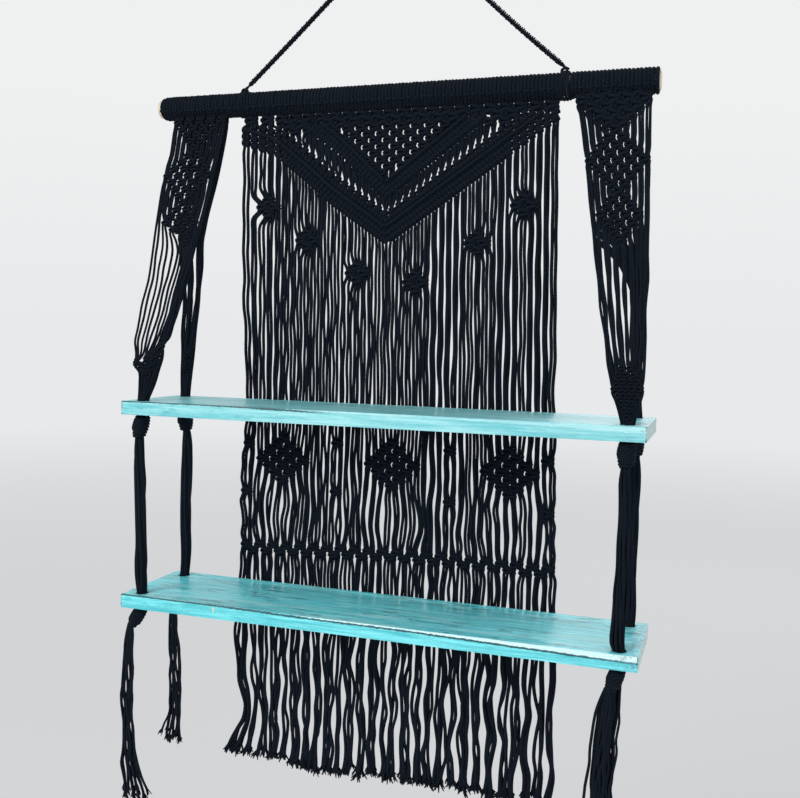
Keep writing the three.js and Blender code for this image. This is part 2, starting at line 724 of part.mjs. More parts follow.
function makeBoard(name, top) {
  const half = boardLength / 2 - boardEase;
  const low = boardFrontY + boardEase;
  const high = boardRearY - boardEase;
  const slab = new THREE.ExtrudeGeometry(
    shapeOf([[-half, low], [half, low], [half, high], [-half, high]]),
    {
      depth: boardThickness - boardEase * 2,
      bevelThickness: boardEase,
      bevelSize: boardEase,
      bevelSegments: 1,
    },
  );
  slab.translate(boardOffset, 0, top - boardThickness + boardEase);
  let board = toSolid(slab);
  for (const corner of corners) {
    const bore = new THREE.CylinderGeometry(holeDiameter / 2, holeDiameter / 2, boardThickness * 2,
      roundSides * 2);
    bore.rotateX(Math.PI / 2).translate(corner.x, corner.y, top);
    board = board.subtract(toSolid(bore));
  }
  addPiece(name, toGeometry(board), paintedWood);
}

makeHanger();
makeDowel();
makePanelTop();
makeCurtain();
makeMiddleCurtain();
makeBandAndFringe();
for (const corner of corners) {
  makeStrap(corner);
  makeLowerStrap(corner);
  makeLowerKnot(corner);
  makeTail(corner);
}
makeBoard('upper_board', upperTop);
makeBoard('lower_board', lowerTop);

export default hangingShelf;
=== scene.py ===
import math
import bpy
import numpy as np
from mathutils import Matrix, Vector


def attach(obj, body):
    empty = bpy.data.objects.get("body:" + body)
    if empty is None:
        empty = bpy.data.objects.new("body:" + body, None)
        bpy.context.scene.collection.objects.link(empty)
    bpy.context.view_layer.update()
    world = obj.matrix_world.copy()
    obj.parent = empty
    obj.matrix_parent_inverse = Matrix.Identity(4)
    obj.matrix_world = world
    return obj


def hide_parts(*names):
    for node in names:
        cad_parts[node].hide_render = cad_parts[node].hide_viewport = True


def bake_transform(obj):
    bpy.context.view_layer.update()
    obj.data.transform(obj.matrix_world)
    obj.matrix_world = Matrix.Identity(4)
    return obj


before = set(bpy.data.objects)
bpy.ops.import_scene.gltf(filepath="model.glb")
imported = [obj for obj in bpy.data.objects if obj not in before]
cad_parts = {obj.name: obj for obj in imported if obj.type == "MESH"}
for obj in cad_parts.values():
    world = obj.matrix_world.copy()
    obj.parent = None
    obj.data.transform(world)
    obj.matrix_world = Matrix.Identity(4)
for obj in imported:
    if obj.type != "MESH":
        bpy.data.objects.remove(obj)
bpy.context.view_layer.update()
bpy.ops.object.select_all(action="DESELECT")
dice = np.random.default_rng(11)
mm = 0.001  # shapes are given in mm in the part's own frame; finishes, lamps and stage in metres


def curve(value, places, heights):
    return float(np.interp(value, places, heights))


# Camera at the photograph's viewing angle
viewPoint = {"place": (0.3784, -1.1072, -0.5083), "turn": 0.3252, "tip": -0.0667, "roll": -0.0220,
             "lens": 44.11}
bpy.ops.object.camera_add()
camera = bpy.context.object
camera.name = "camera"
camera.data.sensor_width = 36
camera.data.lens = viewPoint["lens"]
camera.data.clip_end = 40
camera.matrix_world = (Matrix.Translation(viewPoint["place"]) @ Matrix.Rotation(viewPoint["turn"], 4, "Z")
                       @ Matrix.Rotation(viewPoint["tip"], 4, "X") @ Matrix.Rotation(viewPoint["roll"], 4, "Y")
                       @ Matrix.Rotation(math.radians(90), 4, "X"))
bpy.context.scene.camera = camera


# Shader maths on sockets: an expression adds its Math nodes
class Wire:
    def __init__(self, finish, socket):
        self.finish, self.socket = finish, socket

    def combine(self, operation, first, second):
        return self.finish.add("ShaderNodeMath", {"operation": operation}, {0: first, 1: second})

    def __add__(self, other):
        return self.combine("ADD", self, other)

    def __sub__(self, other):
        return self.combine("SUBTRACT", self, other)

    def __rsub__(self, other):
        return self.combine("SUBTRACT", other, self)

    def __mul__(self, other):
        return self.combine("MULTIPLY", self, other)

    def __pow__(self, other):
        return self.combine("POWER", self, other)


class Finish:
    def __init__(self, owner):
        owner.use_nodes = True
        self.owner, self.tree = owner, owner.node_tree
        self.tree.nodes.clear()

    def add(self, kind, settings=None, values=None, output=0):
        node = self.tree.nodes.new(kind)
        for name, value in (settings or {}).items():
            setattr(node, name, value)
        for key, value in (values or {}).items():
            if isinstance(value, Wire):
                self.tree.links.new(value.socket, node.inputs[key])
            else:
                node.inputs[key].default_value = value
        return Wire(self, node.outputs[output]) if node.outputs else None

    def mix(self, factor, first, second):
        return self.add("ShaderNodeMix", {"data_type": "RGBA"}, {0: factor, 6: first, 7: second}, 2)

    def span(self, value, low, high, toLow=0.0, toHigh=1.0):
        return self.add("ShaderNodeMapRange", {"interpolation_type": "SMOOTHSTEP"},
                        {0: value, 1: low, 2: high, 3: toLow, 4: toHigh})

    def noise(self, place, scale, detail=3.0, rough=0.5, warp=0.0):
        return self.add("ShaderNodeTexNoise", {}, {"Vector": place, "Scale": scale, "Detail": detail,
                                                   "Roughness": rough, "Distortion": warp})

    def stretch(self, place, scale):
        return self.add("ShaderNodeMapping", {}, {"Vector": place, "Scale": scale})

    def close(self, values):
        shader = self.add("ShaderNodeBsdfPrincipled", {}, values)
        self.add("ShaderNodeOutputMaterial", {}, {"Surface": shader})
        return self.owner


# Near-black navy cotton cord, three plies laid up; its UV runs along the cord in cm and once round it
cordFinish = {"sun": (0.0060, 0.0098, 0.0165, 1), "shade": (0.0010, 0.0019, 0.0036, 1),
              "fade": (0.0125, 0.0175, 0.0265, 1), "pliesPerCm": 2.6, "relief": 0.0005}


def cottonFinish():
    f = Finish(bpy.data.materials.new("cotton_cord"))
    uv = f.add("ShaderNodeUVMap", {"uv_map": "lay"})
    along = f.add("ShaderNodeSeparateXYZ", {}, {0: uv}, 0)
    around = f.add("ShaderNodeSeparateXYZ", {}, {0: uv}, 1)
    place = f.add("ShaderNodeTexCoord", {}, {}, 3)
    ply = f.add("ShaderNodeMath", {"operation": "FRACT"}, {0: along * cordFinish["pliesPerCm"] + around * 3.0})
    crown = 1.0 - (ply * 2.0 - 1.0) ** 2.0  # 1 on a ply's back, 0 in the groove
    fibres = f.noise(f.stretch(uv, (14.0, 9.0, 1.0)), 1.6, 3.0, 0.6)
    cloudy = f.noise(place, 18.0, 2.0, 0.5)
    tone = f.span(crown, 0.0, 0.75) * 0.72 + fibres * 0.5
    cord = f.mix(f.span(tone, 0.12, 1.0), cordFinish["shade"], cordFinish["sun"])
    cord = f.mix(f.span(cloudy, 0.45, 0.75) * f.span(fibres, 0.45, 0.8) * 0.6, cord, cordFinish["fade"])
    bump = f.add("ShaderNodeBump", {}, {"Strength": 0.7, "Distance": cordFinish["relief"],
                                        "Height": crown * 0.8 + fibres * 0.35})
    return f.close({"Base Color": cord, "Roughness": 0.86, "Specular IOR Level": 0.06, "Sheen Weight": 0.02,
                    "Sheen Roughness": 0.4, "Normal": bump})


cotton = cottonFinish()
print("camera and cord finish made")

# Tubes: a line of points (x, y, z, radius) becomes a smooth cord, cut where its piece name changes.
# A ring is kept after each step that bends or reaches far enough
cordBuild = {"sides": 6, "fraySides": 3, "step": 1.1, "bend": 0.5, "reach": 8.0}
tubeStore = {}


def easeLine(controls, pieces):
    controls = np.asarray(controls, float)
    spans = np.maximum(np.linalg.norm(np.diff(controls[:, :3], axis=0), axis=1), 1e-3)
    rates = np.diff(controls, axis=0) / spans[:, None]
    slopes = np.empty_like(controls)
    slopes[0], slopes[-1] = rates[0], rates[-1]
    slopes[1:-1] = ((rates[:-1] * spans[1:, None] + rates[1:] * spans[:-1, None])
                    / (spans[:-1] + spans[1:])[:, None])
    counts = np.maximum(1, np.ceil(spans / cordBuild["step"])).astype(int)
    which = np.repeat(np.arange(len(spans)), counts)
    t = np.concatenate([np.arange(count) / count for count in counts])[:, None]
    h = spans[which][:, None]
    fine = ((1 + 2 * t) * (1 - t) ** 2 * controls[which] + t * (1 - t) ** 2 * h * slopes[which]
            + t * t * (3 - 2 * t) * controls[which + 1] + t * t * (t - 1) * h * slopes[which + 1])
    fine = np.vstack([fine, controls[-1]])
    names = np.array(pieces, dtype=object)[which]
    steps = np.diff(fine[:, :3], axis=0)
    lengths = np.linalg.norm(steps, axis=1)
    unit = steps / np.maximum(lengths, 1e-9)[:, None]
    turns = np.arccos(np.clip((unit[1:] * unit[:-1]).sum(1), -1, 1))
    worth = np.concatenate([[0], turns / cordBuild["bend"]]) + lengths / cordBuild["reach"]
    total = np.floor(np.concatenate([[0], np.cumsum(worth)]))
    keep = np.concatenate([[True], np.diff(total) > 0])
    keep[1:-1] |= names[1:] != names[:-1]
    keep[-1] = True
    kept = np.nonzero(keep)[0]
    way = np.concatenate([[0], np.cumsum(lengths)])[kept]
    return fine[kept], [names[i] for i in kept[:-1]], way


def layTubes(lines, sides=cordBuild["sides"]):
    # lines: (controls with radius, piece name for each span)
    eased = [easeLine(controls, pieces) for controls, pieces in lines]
    longest = max(len(points) for points, _, _ in eased)
    places = np.zeros((len(eased), longest, 3))
    ways = np.zeros((len(eased), longest, 3))
    for row, (points, _, _) in enumerate(eased):
        count = len(points)
        places[row, :count], places[row, count:] = points[:, :3], points[-1, :3]
        heading = np.empty((count, 3))
        heading[1:-1] = points[2:, :3] - points[:-2, :3]
        heading[0], heading[-1] = points[1, :3] - points[0, :3], points[-1, :3] - points[-2, :3]
        heading /= np.maximum(np.linalg.norm(heading, axis=1), 1e-9)[:, None]
        ways[row, :count], ways[row, count:] = heading, heading[-1]
    across = np.cross(ways[:, 0], (0.31, 0.92, 0.23))
    across /= np.linalg.norm(across, axis=1)[:, None]
    normals = np.empty_like(places)
    for i in range(longest):
        across = across - (across * ways[:, i]).sum(1)[:, None] * ways[:, i]
        across /= np.maximum(np.linalg.norm(across, axis=1), 1e-9)[:, None]
        normals[:, i] = across
    seconds = np.cross(ways, normals)
    angles = np.arange(sides) * 2 * math.pi / sides
    ring = np.arange(sides)
    nextRing = (ring + 1) % sides
    for row, (points, names, way) in enumerate(eased):
        count = len(points)
        offset = (np.cos(angles)[None, :, None] * normals[row, :count, None]
                  + np.sin(angles)[None, :, None] * seconds[row, :count, None])
        rings = points[:, None, :3] + points[:, None, 3:4] * offset
        way = way * 0.1 + dice.random() * 60
        first = 0
        while first < count - 1:
            last = first + 1
            while last < count - 1 and names[last] == names[first]:
                last += 1
            size = last - first + 1
            i = np.arange(size - 1)[:, None]
            quads = np.stack([i * sides + ring, i * sides + nextRing, (i + 1) * sides + nextRing,
                              (i + 1) * sides + ring], -1).reshape(-1, 4)
            u = way[first:last + 1]
            low, high = np.repeat(u[:-1], sides), np.repeat(u[1:], sides)
            v, vNext = np.tile(ring / sides, size - 1), np.tile((ring + 1) / sides, size - 1)
            uvs = np.stack([np.stack([low, v], -1), np.stack([low, vNext], -1), np.stack([high, vNext], -1),
                            np.stack([high, v], -1)], 1).reshape(-1, 2)
            caps = [ring[::-1], ring + (size - 1) * sides]
            capUvs = np.array([(u[0], k / sides) for k in ring[::-1]] + [(u[-1], k / sides) for k in ring])
            tubeStore.setdefault(names[first], []).append(
                (rings[first:last + 1].reshape(-1, 3), quads, uvs, caps, capUvs))
            first = last


def buildPiece(store, body, ending="_cords"):
    # one mesh of all tubes of that name; with an ending it replaces the node of that name
    verts, loops, starts, uvs = [], [], [], []
    base = cursor = 0
    for points, quads, quadUvs, caps, capUvs in tubeStore.pop(store):
        verts.append(points)
        loops.append((quads + base).ravel())
        starts.append(cursor + np.arange(len(quads)) * 4)
        cursor += len(quads) * 4
        for cap in caps:
            loops.append(cap + base)
            starts.append([cursor])
            cursor += len(cap)
        uvs += [quadUvs, capUvs]
        base += len(points)
    loops, starts = np.concatenate(loops), np.concatenate(starts)
    mesh = bpy.data.meshes.new(store + ending)
    mesh.vertices.add(base)
    mesh.vertices.foreach_set("co", (np.vstack(verts) * mm).astype(np.float32).ravel())
    mesh.loops.add(len(loops))
    mesh.loops.foreach_set("vertex_index", loops.astype(np.int32))
    mesh.polygons.add(len(starts))
    mesh.polygons.foreach_set("loop_start", starts.astype(np.int32))
    mesh.update(calc_edges=True)
    mesh.polygons.foreach_set("use_smooth", np.ones(len(starts), bool))
    layer = mesh.uv_layers.new(name="lay")
    layer.data.foreach_set("uv", np.vstack(uvs).astype(np.float32).ravel())
    mesh.materials.append(cotton)
    piece = bpy.data.objects.new(store + ending, mesh)
    bpy.context.scene.collection.objects.link(piece)
    if body:
        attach(piece, body)
    if ending:
        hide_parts(store)
    return piece


def cordLine(points, piece):
    return np.array(points), [piece] * (len(points) - 1)


# Knots are written as the run of each of their four cords: across, down, out of the sheet
knotShape = {
    "over": [(-5.2, -4.3, 0.2), (-4.4, -3.3, 2.0), (-2.3, -2.6, 3.0), (0, -2.1, 3.2), (2.4, -1.7, 3.0),
             (4.6, -1.0, 1.9), (5.3, 0, 0.6), (4.6, 1.0, 1.9), (2.4, 1.7, 3.0), (0, 2.1, 3.2), (-2.3, 2.6, 3.0),
             (-4.4, 3.3, 2.0), (-5.2, 4.3, 0.2)],
    "coreLeft": [(-1.75, -4.0, -0.1), (-1.75, 4.0, -0.1)],
    "coreRight": [(1.75, -4.0, -0.1), (1.75, 4.0, -0.1)],
    "under": [(5.2, -4.3, 0.2), (5.7, -3.2, 1.7), (5.9, -1.9, 1.1), (4.8, -0.9, -1.2), (1.9, -0.8, -2.7),
              (-1.9, -0.8, -2.7), (-4.8, -1.1, -1.2), (-5.8, -0.9, 0.8), (-6.1, 0.1, 1.7), (-5.8, 1.1, 0.8),
              (-4.8, 1.1, -1.2), (-1.9, 0.8, -2.7), (1.9, 0.8, -2.7), (4.8, 0.9, -1.2), (5.9, 1.8, 0.9),
              (5.7, 3.2, 1.5), (5.2, 4.3, 0.2)],
}
hitch = {"reach": 3.0, "cord": 1.8, "half": 1.35, "turns": np.radians(np.arange(15, 526, 42))}
looseRun = {"shortest": 15.0, "fade": 24.0}


def sideOf(cord):
    return 1 if cord % 2 == 0 else -1


def coresMiddle(acrossOf, first, down):
    # where a knot of four cords sits: halfway between its two inner ones
    return (acrossOf(first + 1, down) + acrossOf(first + 2, down)) / 2


def squareKnot(events, first, across, down, wide, tall, deep=1.0, radius=1.7, tilt=0.0, piece=None, out=0.0):
    for cord, shape in enumerate(knotShape.values(), first):
        points = np.array(shape) * (wide, tall, deep)
        turned = points.copy()
        turned[:, 0] = points[:, 0] * math.cos(tilt) - points[:, 1] * math.sin(tilt)
        turned[:, 1] = points[:, 0] * math.sin(tilt) + points[:, 1] * math.cos(tilt)
        turned += (across, down, out + dice.uniform(-0.15, 0.15))
        events[cord].append((down, turned, radius, piece))


def halfHitch(events, cord, across, down, slope, piece):
    # one and a half turns round a carrier that runs along the chevron
    along = np.array((1.0, slope)) / math.hypot(1.0, slope)
    below = np.array((-along[1], along[0]))
    turns = hitch["turns"]
    shift = np.linspace(-hitch["half"], hitch["half"], len(turns)) * (1 if slope > 0 else -1)
    points = np.empty((len(turns), 3))
    points[:, :2] = (across, down) + shift[:, None] * along - np.cos(turns)[:, None] * hitch["reach"] * below
    points[:, 2] = np.sin(turns) * hitch["reach"]
    events[cord].append((down, points, hitch["cord"], piece))


def layCord(events, cord, head, foot, free, pieceAt, apart=17.0, radius=2.0):
    # strings the cord's knots together, with loose points between them
    done = sorted(events[cord], key=lambda event: event[0])
    controls, pieces = [(*point, radius) for point in head], [None] * len(head)
    for down, points, size, piece in done + [(foot, None, radius, None)]:
        start = controls[-1][1]
        stop = foot if points is None else points[0][1]
        gap = stop - start
        if gap > looseRun["shortest"]:
            count = max(1, int(round(gap / apart)))
            for share in (np.arange(count) + 0.5) / count:
                here = start + gap * share
                near = min(here - start if done and start > head[-1][1] + 1 else looseRun["fade"],
                           looseRun["fade"] if points is None else stop - here)
                loose = min(1.0, near / looseRun["fade"])
                across, out = free(cord, here, loose * loose * (3 - 2 * loose))
                controls.append((across, here, out, radius))
                pieces.append(None)
        if points is None:
            across, out = free(cord, foot, 1.0)
            controls.append((across, foot, out, radius))
            pieces.append(None)
        else:
            controls += [(*point, size) for point in points]
            pieces += [piece] * len(points)
    names = []
    for one, two, piece, following in zip(controls, controls[1:], pieces, pieces[1:]):
        own = piece if piece == following else None
        names.append(own or pieceAt((one[0] + two[0]) / 2, (one[1] + two[1]) / 2))
    return np.array(controls), names


def driftOf(count, size, waves, seed):
    # smooth sideways wander of each cord or group along its length
    own = np.random.default_rng(seed)
    phases = own.random((count, len(waves))) * 2 * math.pi
    weights = own.uniform(0.5, 1.0, (count, len(waves)))

    def drift(index, down):
        return size * sum(weights[index, k] * math.sin(2 * math.pi * down / wave + phases[index, k])
                          for k, wave in enumerate(waves)) / len(waves) * 1.6
    return drift


# The panel: 88 cords, measured across from its middle and down from the dowel's underside
panel = {
    "cords": 88, "pitch": 4.318, "middle": -4.0, "headY": -7.35, "headZ": -247.35,
    "lean": math.atan2(10.35, 380.65), "plumbFrom": 380.8, "plumbY": 3.0, "plumbZ": -628.0, "headFoot": 15.5,
    "chevronFoot": 170, "curtainFoot": 598.4, "fringeFoot": 800.0, "netRows": 11, "netTop": 4.2,
    "netPitch": 7.55, "chevronTip": -11.5, "band": (533.4, 540.4),
    "innerRidge": ((-109.9, -70.2, -11.5, 99.9), (0.4, 30.3, 84.5, 1.4)), "innerRows": (0, 7.3, 14.6),
    "outerRidge": ((-190, -154.3, -130.2, -105.0, -79.4, -11.4, 186.7),
                   (17.5, 29.2, 48.0, 67.8, 89.8, 136.5, 3.2)),
    "outerRows": (-15.5, -7.8, 0.0, 7.8, 15.5),
    # curves of places and heights: how wide the cords spread, how far the two cords of a pair stand apart by
    # the way down and by the way across the upper curtain, how the edges hang, and how the band of knots rises
    "spread": ((0, 346, 528), (1.0, 1.03, 1.065)),
    "pairs": ((12, 20, 380, 430, 520, 560), (0, 0.7, 0.7, 1.25, 1.2, 0.7)),
    "openness": ((-190, -150, -140, -110, -95, -40, -25, 35, 45, 98, 110, 190),
                 (1.1, 1.0, 0.5, 0.5, 1.15, 1.15, 0.5, 0.5, 1.5, 1.5, 1.0, 1.0)),
    "leftEdge": ((0, 27, 223, 361, 400, 470, 535, 666, 724, 757, 804),
                 (-9, -11, -8, 0, -4, -5, -1, -10, -2, 0, -20)),
    "rightEdge": ((530, 560, 800), (0, 2, 5)),
    "bandRise": ((-200, 27, 202), (0.0, -8.5, -5.0)),
}
chevrons = {"inner_chevron": ("innerRidge", "innerRows"), "outer_chevron": ("outerRidge", "outerRows")}
# first cord of each knot or net, and where it sits
clusters = {2: (-165.0, 109.4), 14: (-112.5, 150.0), 29: (-47.0, 189.8), 46: (26.2, 200.2), 63: (100.2, 155.5),
            75: (153.7, 113.6)}
netDiamonds = {4: ("net_diamond_left", 421.5), 36: ("net_diamond_centre", 419.5),
               68: ("net_diamond_right", 419.5)}
singleKnots = {0: (403.0, 464.0), 26: (397.0, 457.0), 58: (398.0, 459.0), 84: (403.0, 464.0)}
knotSizes = {"head": (1.2, 1.3, 1.0, 2.35), "net": (1.04, 1.02, 0.95, 1.92), "cluster": (1.1, 1.12, 1.0, 2.15),
             "diamond": (1.16, 1.14, 1.0, 2.1), "single": (1.05, 1.05, 1.0, 2.0), "band": (1.1, 0.96, 1.0, 2.0)}
pairShare = np.random.default_rng(8).uniform(0.15, 1.45, 44)


def onPanel(points):
    # the panel leans back from the dowel to the wall and hangs plumb below
    across, down, out = points[:, 0], points[:, 1], points[:, 2]
    lean, leaning = panel["lean"], down <= panel["plumbFrom"]
    placed = points.copy()
    placed[:, 0] = panel["middle"] + across
    placed[:, 1] = np.where(leaning, panel["headY"] + down * math.sin(lean) - out * math.cos(lean),
                            panel["plumbY"] - out)
    placed[:, 2] = np.where(leaning, panel["headZ"] - down * math.cos(lean) - out * math.sin(lean),
                            panel["plumbZ"] - (down - panel["plumbFrom"]))
    return placed


def chevronLine(ridge, across):
    xs, ys = panel[ridge]
    if across < xs[0]:
        return ys[0] + (across - xs[0]) * (ys[1] - ys[0]) / (xs[1] - xs[0])
    if across > xs[-1]:
        return ys[-1] + (across - xs[-1]) * (ys[-1] - ys[-2]) / (xs[-1] - xs[-2])
    return curve(across, xs, ys)


def panelAcross(cord, down):
    # the outer cords hang wider than the rest, and neighbours lie in pairs
    across = (cord + 0.5 - panel["cords"] / 2) * panel["pitch"] * curve(down, *panel["spread"])
    above = chevronLine("outerRidge", across) + panel["outerRows"][0] - down
    apart = curve(across, *panel["openness"])
    across += (sideOf(cord) * curve(down, *panel["pairs"]) * pairShare[cord // 2]
               * curve(above, (0, 5), (1.0, 0.0)) * curve(down, (60, 120, 385, 430), (1.0, apart, apart, 1.0)))
    if cord < 9:
        across += curve(down, *panel["leftEdge"]) * (1 - cord / 9) ** 1.3
    if cord > 82:
        across += curve(down, *panel["rightEdge"]) * (cord - 82) / 5
    return across


def panelPieceAt(across, down):
    if down < panel["headFoot"]:
        return "panel_head_row"
    if down < panel["chevronFoot"]:
        inner, outer = chevronLine("innerRidge", across), chevronLine("outerRidge", across)
        for foot, piece in ((inner, "net_triangle"), (inner + panel["innerRows"][-1] + 8, "inner_chevron"),
                            (outer + panel["outerRows"][0], "chevron_cords"),
                            (outer + panel["outerRows"][-1] + 8, "outer_chevron")):
            if down < foot - 4:
                return piece
    rise = curve(across, *panel["bandRise"])
    for foot, piece in ((panel["plumbFrom"], "curtain_upper"), (527.4 + rise, "curtain_middle"),
                        (547.0 + rise, "knot_band"), (panel["curtainFoot"], "curtain_lower")):
        if down < foot:
            return piece
    return "fringe"


# how far tufts, pairs and single cords wander, and how far the fringe gathers, by the way down
wander = {"down": (0, 170, 380, 480, 600, 700, 800), "tuft": (0.2, 0.5, 0.8, 1.8, 1.6, 2.8, 2.4),
          "pair": (0.3, 0.6, 0.75, 1.5, 1.4, 2.0, 1.7), "single": (0.1, 0.14, 0.16, 0.35, 0.6, 1.4, 1.2),
          "gather": (0, 0, 0, 0, 0.08, 0.34, 0.5)}
pairDrift = driftOf(44, 1.0, (62, 95, 160), 3)
tuftDrift = driftOf(30, 1.0, (80, 130, 230), 4)
cordDrift = driftOf(88, 1.0, (38, 60, 90), 5)
depthDrift = driftOf(88, 1.0, (60, 120), 6)
tuftCords = [0, 4, 6, 9, 13, 15, 19, 22, 25, 29, 31, 35, 38, 42, 44, 47, 51, 54, 57, 61, 63, 67, 70, 74, 77,
             80, 83, 86, 88]


def hump(value, start, long):
    return max(0.0, math.sin(math.pi * min(max((value - start) / long, 0), 1)))


def panelFree(cord, down, loose):
    tuft = max(k for k, first in enumerate(tuftCords) if first <= cord)
    centre = (tuftCords[tuft] + tuftCords[tuft + 1] - 1) / 2
    whole, paired, single, gather = (curve(down, wander["down"], wander[key])
                                     for key in ("tuft", "pair", "single", "gather"))
    sway = tuftDrift(tuft, down) * whole + pairDrift(cord // 2, down) * paired + cordDrift(cord, down) * single
    sway += (centre - cord) * panel["pitch"] * gather
    for start in netDiamonds:  # cords bow apart above and below each net diamond
        reach = (cord - start - 7.5) / 8
        if abs(reach) < 1.35:
            sway += (4.6 * hump(down, 438, 92) + 2.4 * hump(down, 345, 50)) * reach * (1.7 - reach * reach)
    out = sideOf(cord) * 0.8 * curve(down, (15, 30), (0, 1))
    return (panelAcross(cord, down) + sway * loose,
            out + depthDrift(cord, down) * (0.3 + 0.9 * loose) * (1 + single * 0.8))


def tiePanel():
    cords = panel["cords"]
    events = [[] for _ in range(cords)]
    # alternating square knots under the dowel and inside the inner chevron
    for row in range(panel["netRows"]):
        down = panel["netTop"] + panel["netPitch"] * row
        for start in range(row % 2 * 2, cords - 3, 4):
            across = (start + 2 - cords / 2) * panel["pitch"]
            inner, outer = (chevronLine("innerRidge", across),
                            chevronLine("outerRidge", across) + panel["outerRows"][0])
            between = row < 3 and down + 2.0 < outer and not inner - 4.6 < down < inner + 14
            if row == 0 or between or down + 4.6 < inner:
                size = knotSizes["head" if row < 2 else "net"]
                squareKnot(events, start, coresMiddle(panelAcross, start, 0), down, *size)
    for piece, (ridge, rows) in chevrons.items():
        isInner = piece == "inner_chevron"
        for index, lower in enumerate(panel[rows]):
            for cord in range(cords):
                across = panelAcross(cord, 20)
                if isInner:
                    across = panel["chevronTip"] + (across - panel["chevronTip"]) * 0.955
                elif index == 0:  # small gaps between pairs of cords along its upper edge
                    across += sideOf(cord) * 1.25
                down = chevronLine(ridge, across) + lower
                if down >= (11.0 if isInner and abs(across) > 60 else 9.0):
                    slope = (chevronLine(ridge, across + 2) - chevronLine(ridge, across - 2)) / 4
                    halfHitch(events, cord, across, down, slope if abs(slope) >= 0.2 else 0.5, piece)
    for cord in range(cords):  # cords between the chevrons lie close together, with slits of light
        across = panelAcross(cord, 20)
        high = chevronLine("innerRidge", across) + panel["innerRows"][-1] + 3.5
        low = chevronLine("outerRidge", across) + panel["outerRows"][0] - 3.0
        if high > 12 and low - high > 5:
            for share in (0.08, 0.5):
                down = high + (low - high) * share
                events[cord].append((down, np.array([(across, down, sideOf(cord) * 0.5)]), 2.35,
                                     "chevron_cords"))
    for number, (start, (across, down)) in enumerate(clusters.items(), 1):
        for side, drop in ((2, -8.2), (0, 0), (4, 0), (2, 8.2)):
            squareKnot(events, start + side, across + (side - 2) * 4.0, down + drop, *knotSizes["cluster"],
                       piece=f"knot_cluster_{number}")
    for start, (piece, centre) in netDiamonds.items():
        for row, knots in enumerate((1, 2, 3, 4, 3, 2, 1), -3):
            down = centre + row * 8.4
            for first in range(start + 8 - 2 * knots, start + 8 + 2 * knots, 4):
                squareKnot(events, first, coresMiddle(panelAcross, first, down), down, *knotSizes["diamond"],
                           piece=piece)
    for start, downs in singleKnots.items():
        for down in downs:
            squareKnot(events, start, coresMiddle(panelAcross, start, down), down, *knotSizes["single"])
    for row, level in enumerate(panel["band"]):
        for start in range(2 * row, cords - 3, 4):
            across = coresMiddle(panelAcross, start, level)
            down = level + curve(across, *panel["bandRise"]) + dice.uniform(-0.9, 0.9)
            squareKnot(events, start, across, down, *knotSizes["band"], tilt=dice.uniform(-0.1, 0.1))
    return events


def carrierLines():
    # the cords that the chevrons' hitches are tied on, and a smooth one that stands proud along each chevron
    lines = []
    for piece, (ridge, rows) in chevrons.items():
        for lower in panel[rows]:
            points = [(across, chevronLine(ridge, across) + lower, 0.0, 1.75)
                      for across in np.linspace(-197, 188, 80)]
            points = [point for point in points if point[1] > 9.0]
            tip = int(np.argmax([point[1] for point in points]))
            for half in (points[:tip + 1], points[tip:][::-1]):
                if len(half) > 2:
                    controls, names = cordLine(half, piece)
                    lines.append((onPanel(controls), names))
                    if lower == 0:
                        lines.append((onPanel(controls + (0, -1.0, 4.7, 0.3)), names))
    return lines


# split fibres at a cut end: how long, how many, how far they spread and how thick they are
fray = {"fringe": (11.0, 14, (0.3, 0.85), 1.65), "tail": (8.0, 10, (0.15, 0.5), 0.95)}


def frayed(controls, piece, long, count, spread, radius):
    end = controls[-1, :3]
    heading = end - controls[-2, :3]
    heading = heading / np.linalg.norm(heading)
    lines = []
    for _ in range(count):
        side = dice.normal(size=3)
        side -= side @ heading * heading
        side /= np.linalg.norm(side)
        reach = long * dice.uniform(0.6, 1.1)
        start = end - heading * 3 + side * 0.7
        points = [start, start + heading * reach * 0.45 + side * reach * spread[0],
                  start + heading * reach + side * reach * dice.uniform(*spread)]
        lines.append(cordLine([(*point, radius * share) for point, share in zip(points, (1, 0.9, 0.4))], piece))
    return lines


panelEvents, panelLines, frayLines = tiePanel(), [], []
declaredFringe = {cord: f"fringe_cord_{k}" for k, cord in enumerate((0, 13, 26, 39, 52, 65, 78, 87), 1)}
for cord in range(panel["cords"]):
    across = panelAcross(cord, 0)
    foot = (panel["fringeFoot"] + curve(cord, (14, 20, 32, 38), (0, 6, 6, 0)) + 2.5 * math.sin(cord * 0.9)
            + dice.uniform(-4, 4))
    controls, names = layCord(panelEvents, cord, [(across, -9.0, 9.0), (across, -3.0, 5.0)], foot, panelFree,
                              panelPieceAt)
    names = [declaredFringe.get(cord, name) if name == "fringe" else name for name in names]
    controls[:, 3] *= np.interp(controls[:, 1], (560, 640, foot - 16, foot), (1.0, 1.06, 1.1, 1.55))
    panelLines.append((onPanel(controls), names))
    frayLines += frayed(panelLines[-1][0], "fringe", *fray["fringe"])
layTubes(panelLines + carrierLines())
layTubes(frayLines, cordBuild["fraySides"])
print("panel cords laid")

for name in ("panel_head_row", "net_triangle", "inner_chevron", "chevron_cords", "outer_chevron",
             "curtain_upper", "curtain_middle", "net_diamond_left", "net_diamond_centre", "net_diamond_right",
             "knot_band", "curtain_lower", *(f"knot_cluster_{k}" for k in range(1, 7))):
    buildPiece(name, "hung_frame")
buildPiece("fringe", "panel_fringe")


def declareStrand(name, body, controls, names):
    # one free cord built as its own piece; the line it follows and its length are worked out but not kept
    points, kept, _ = easeLine(controls, names)
    line = [points[i, :3] * mm for i in range(len(points)) if name in kept[max(i - 1, 0):i + 1]]
    strand = buildPiece(name, body, "")
    length = sum(float(np.linalg.norm(b - a)) for a, b in zip(line, line[1:]))


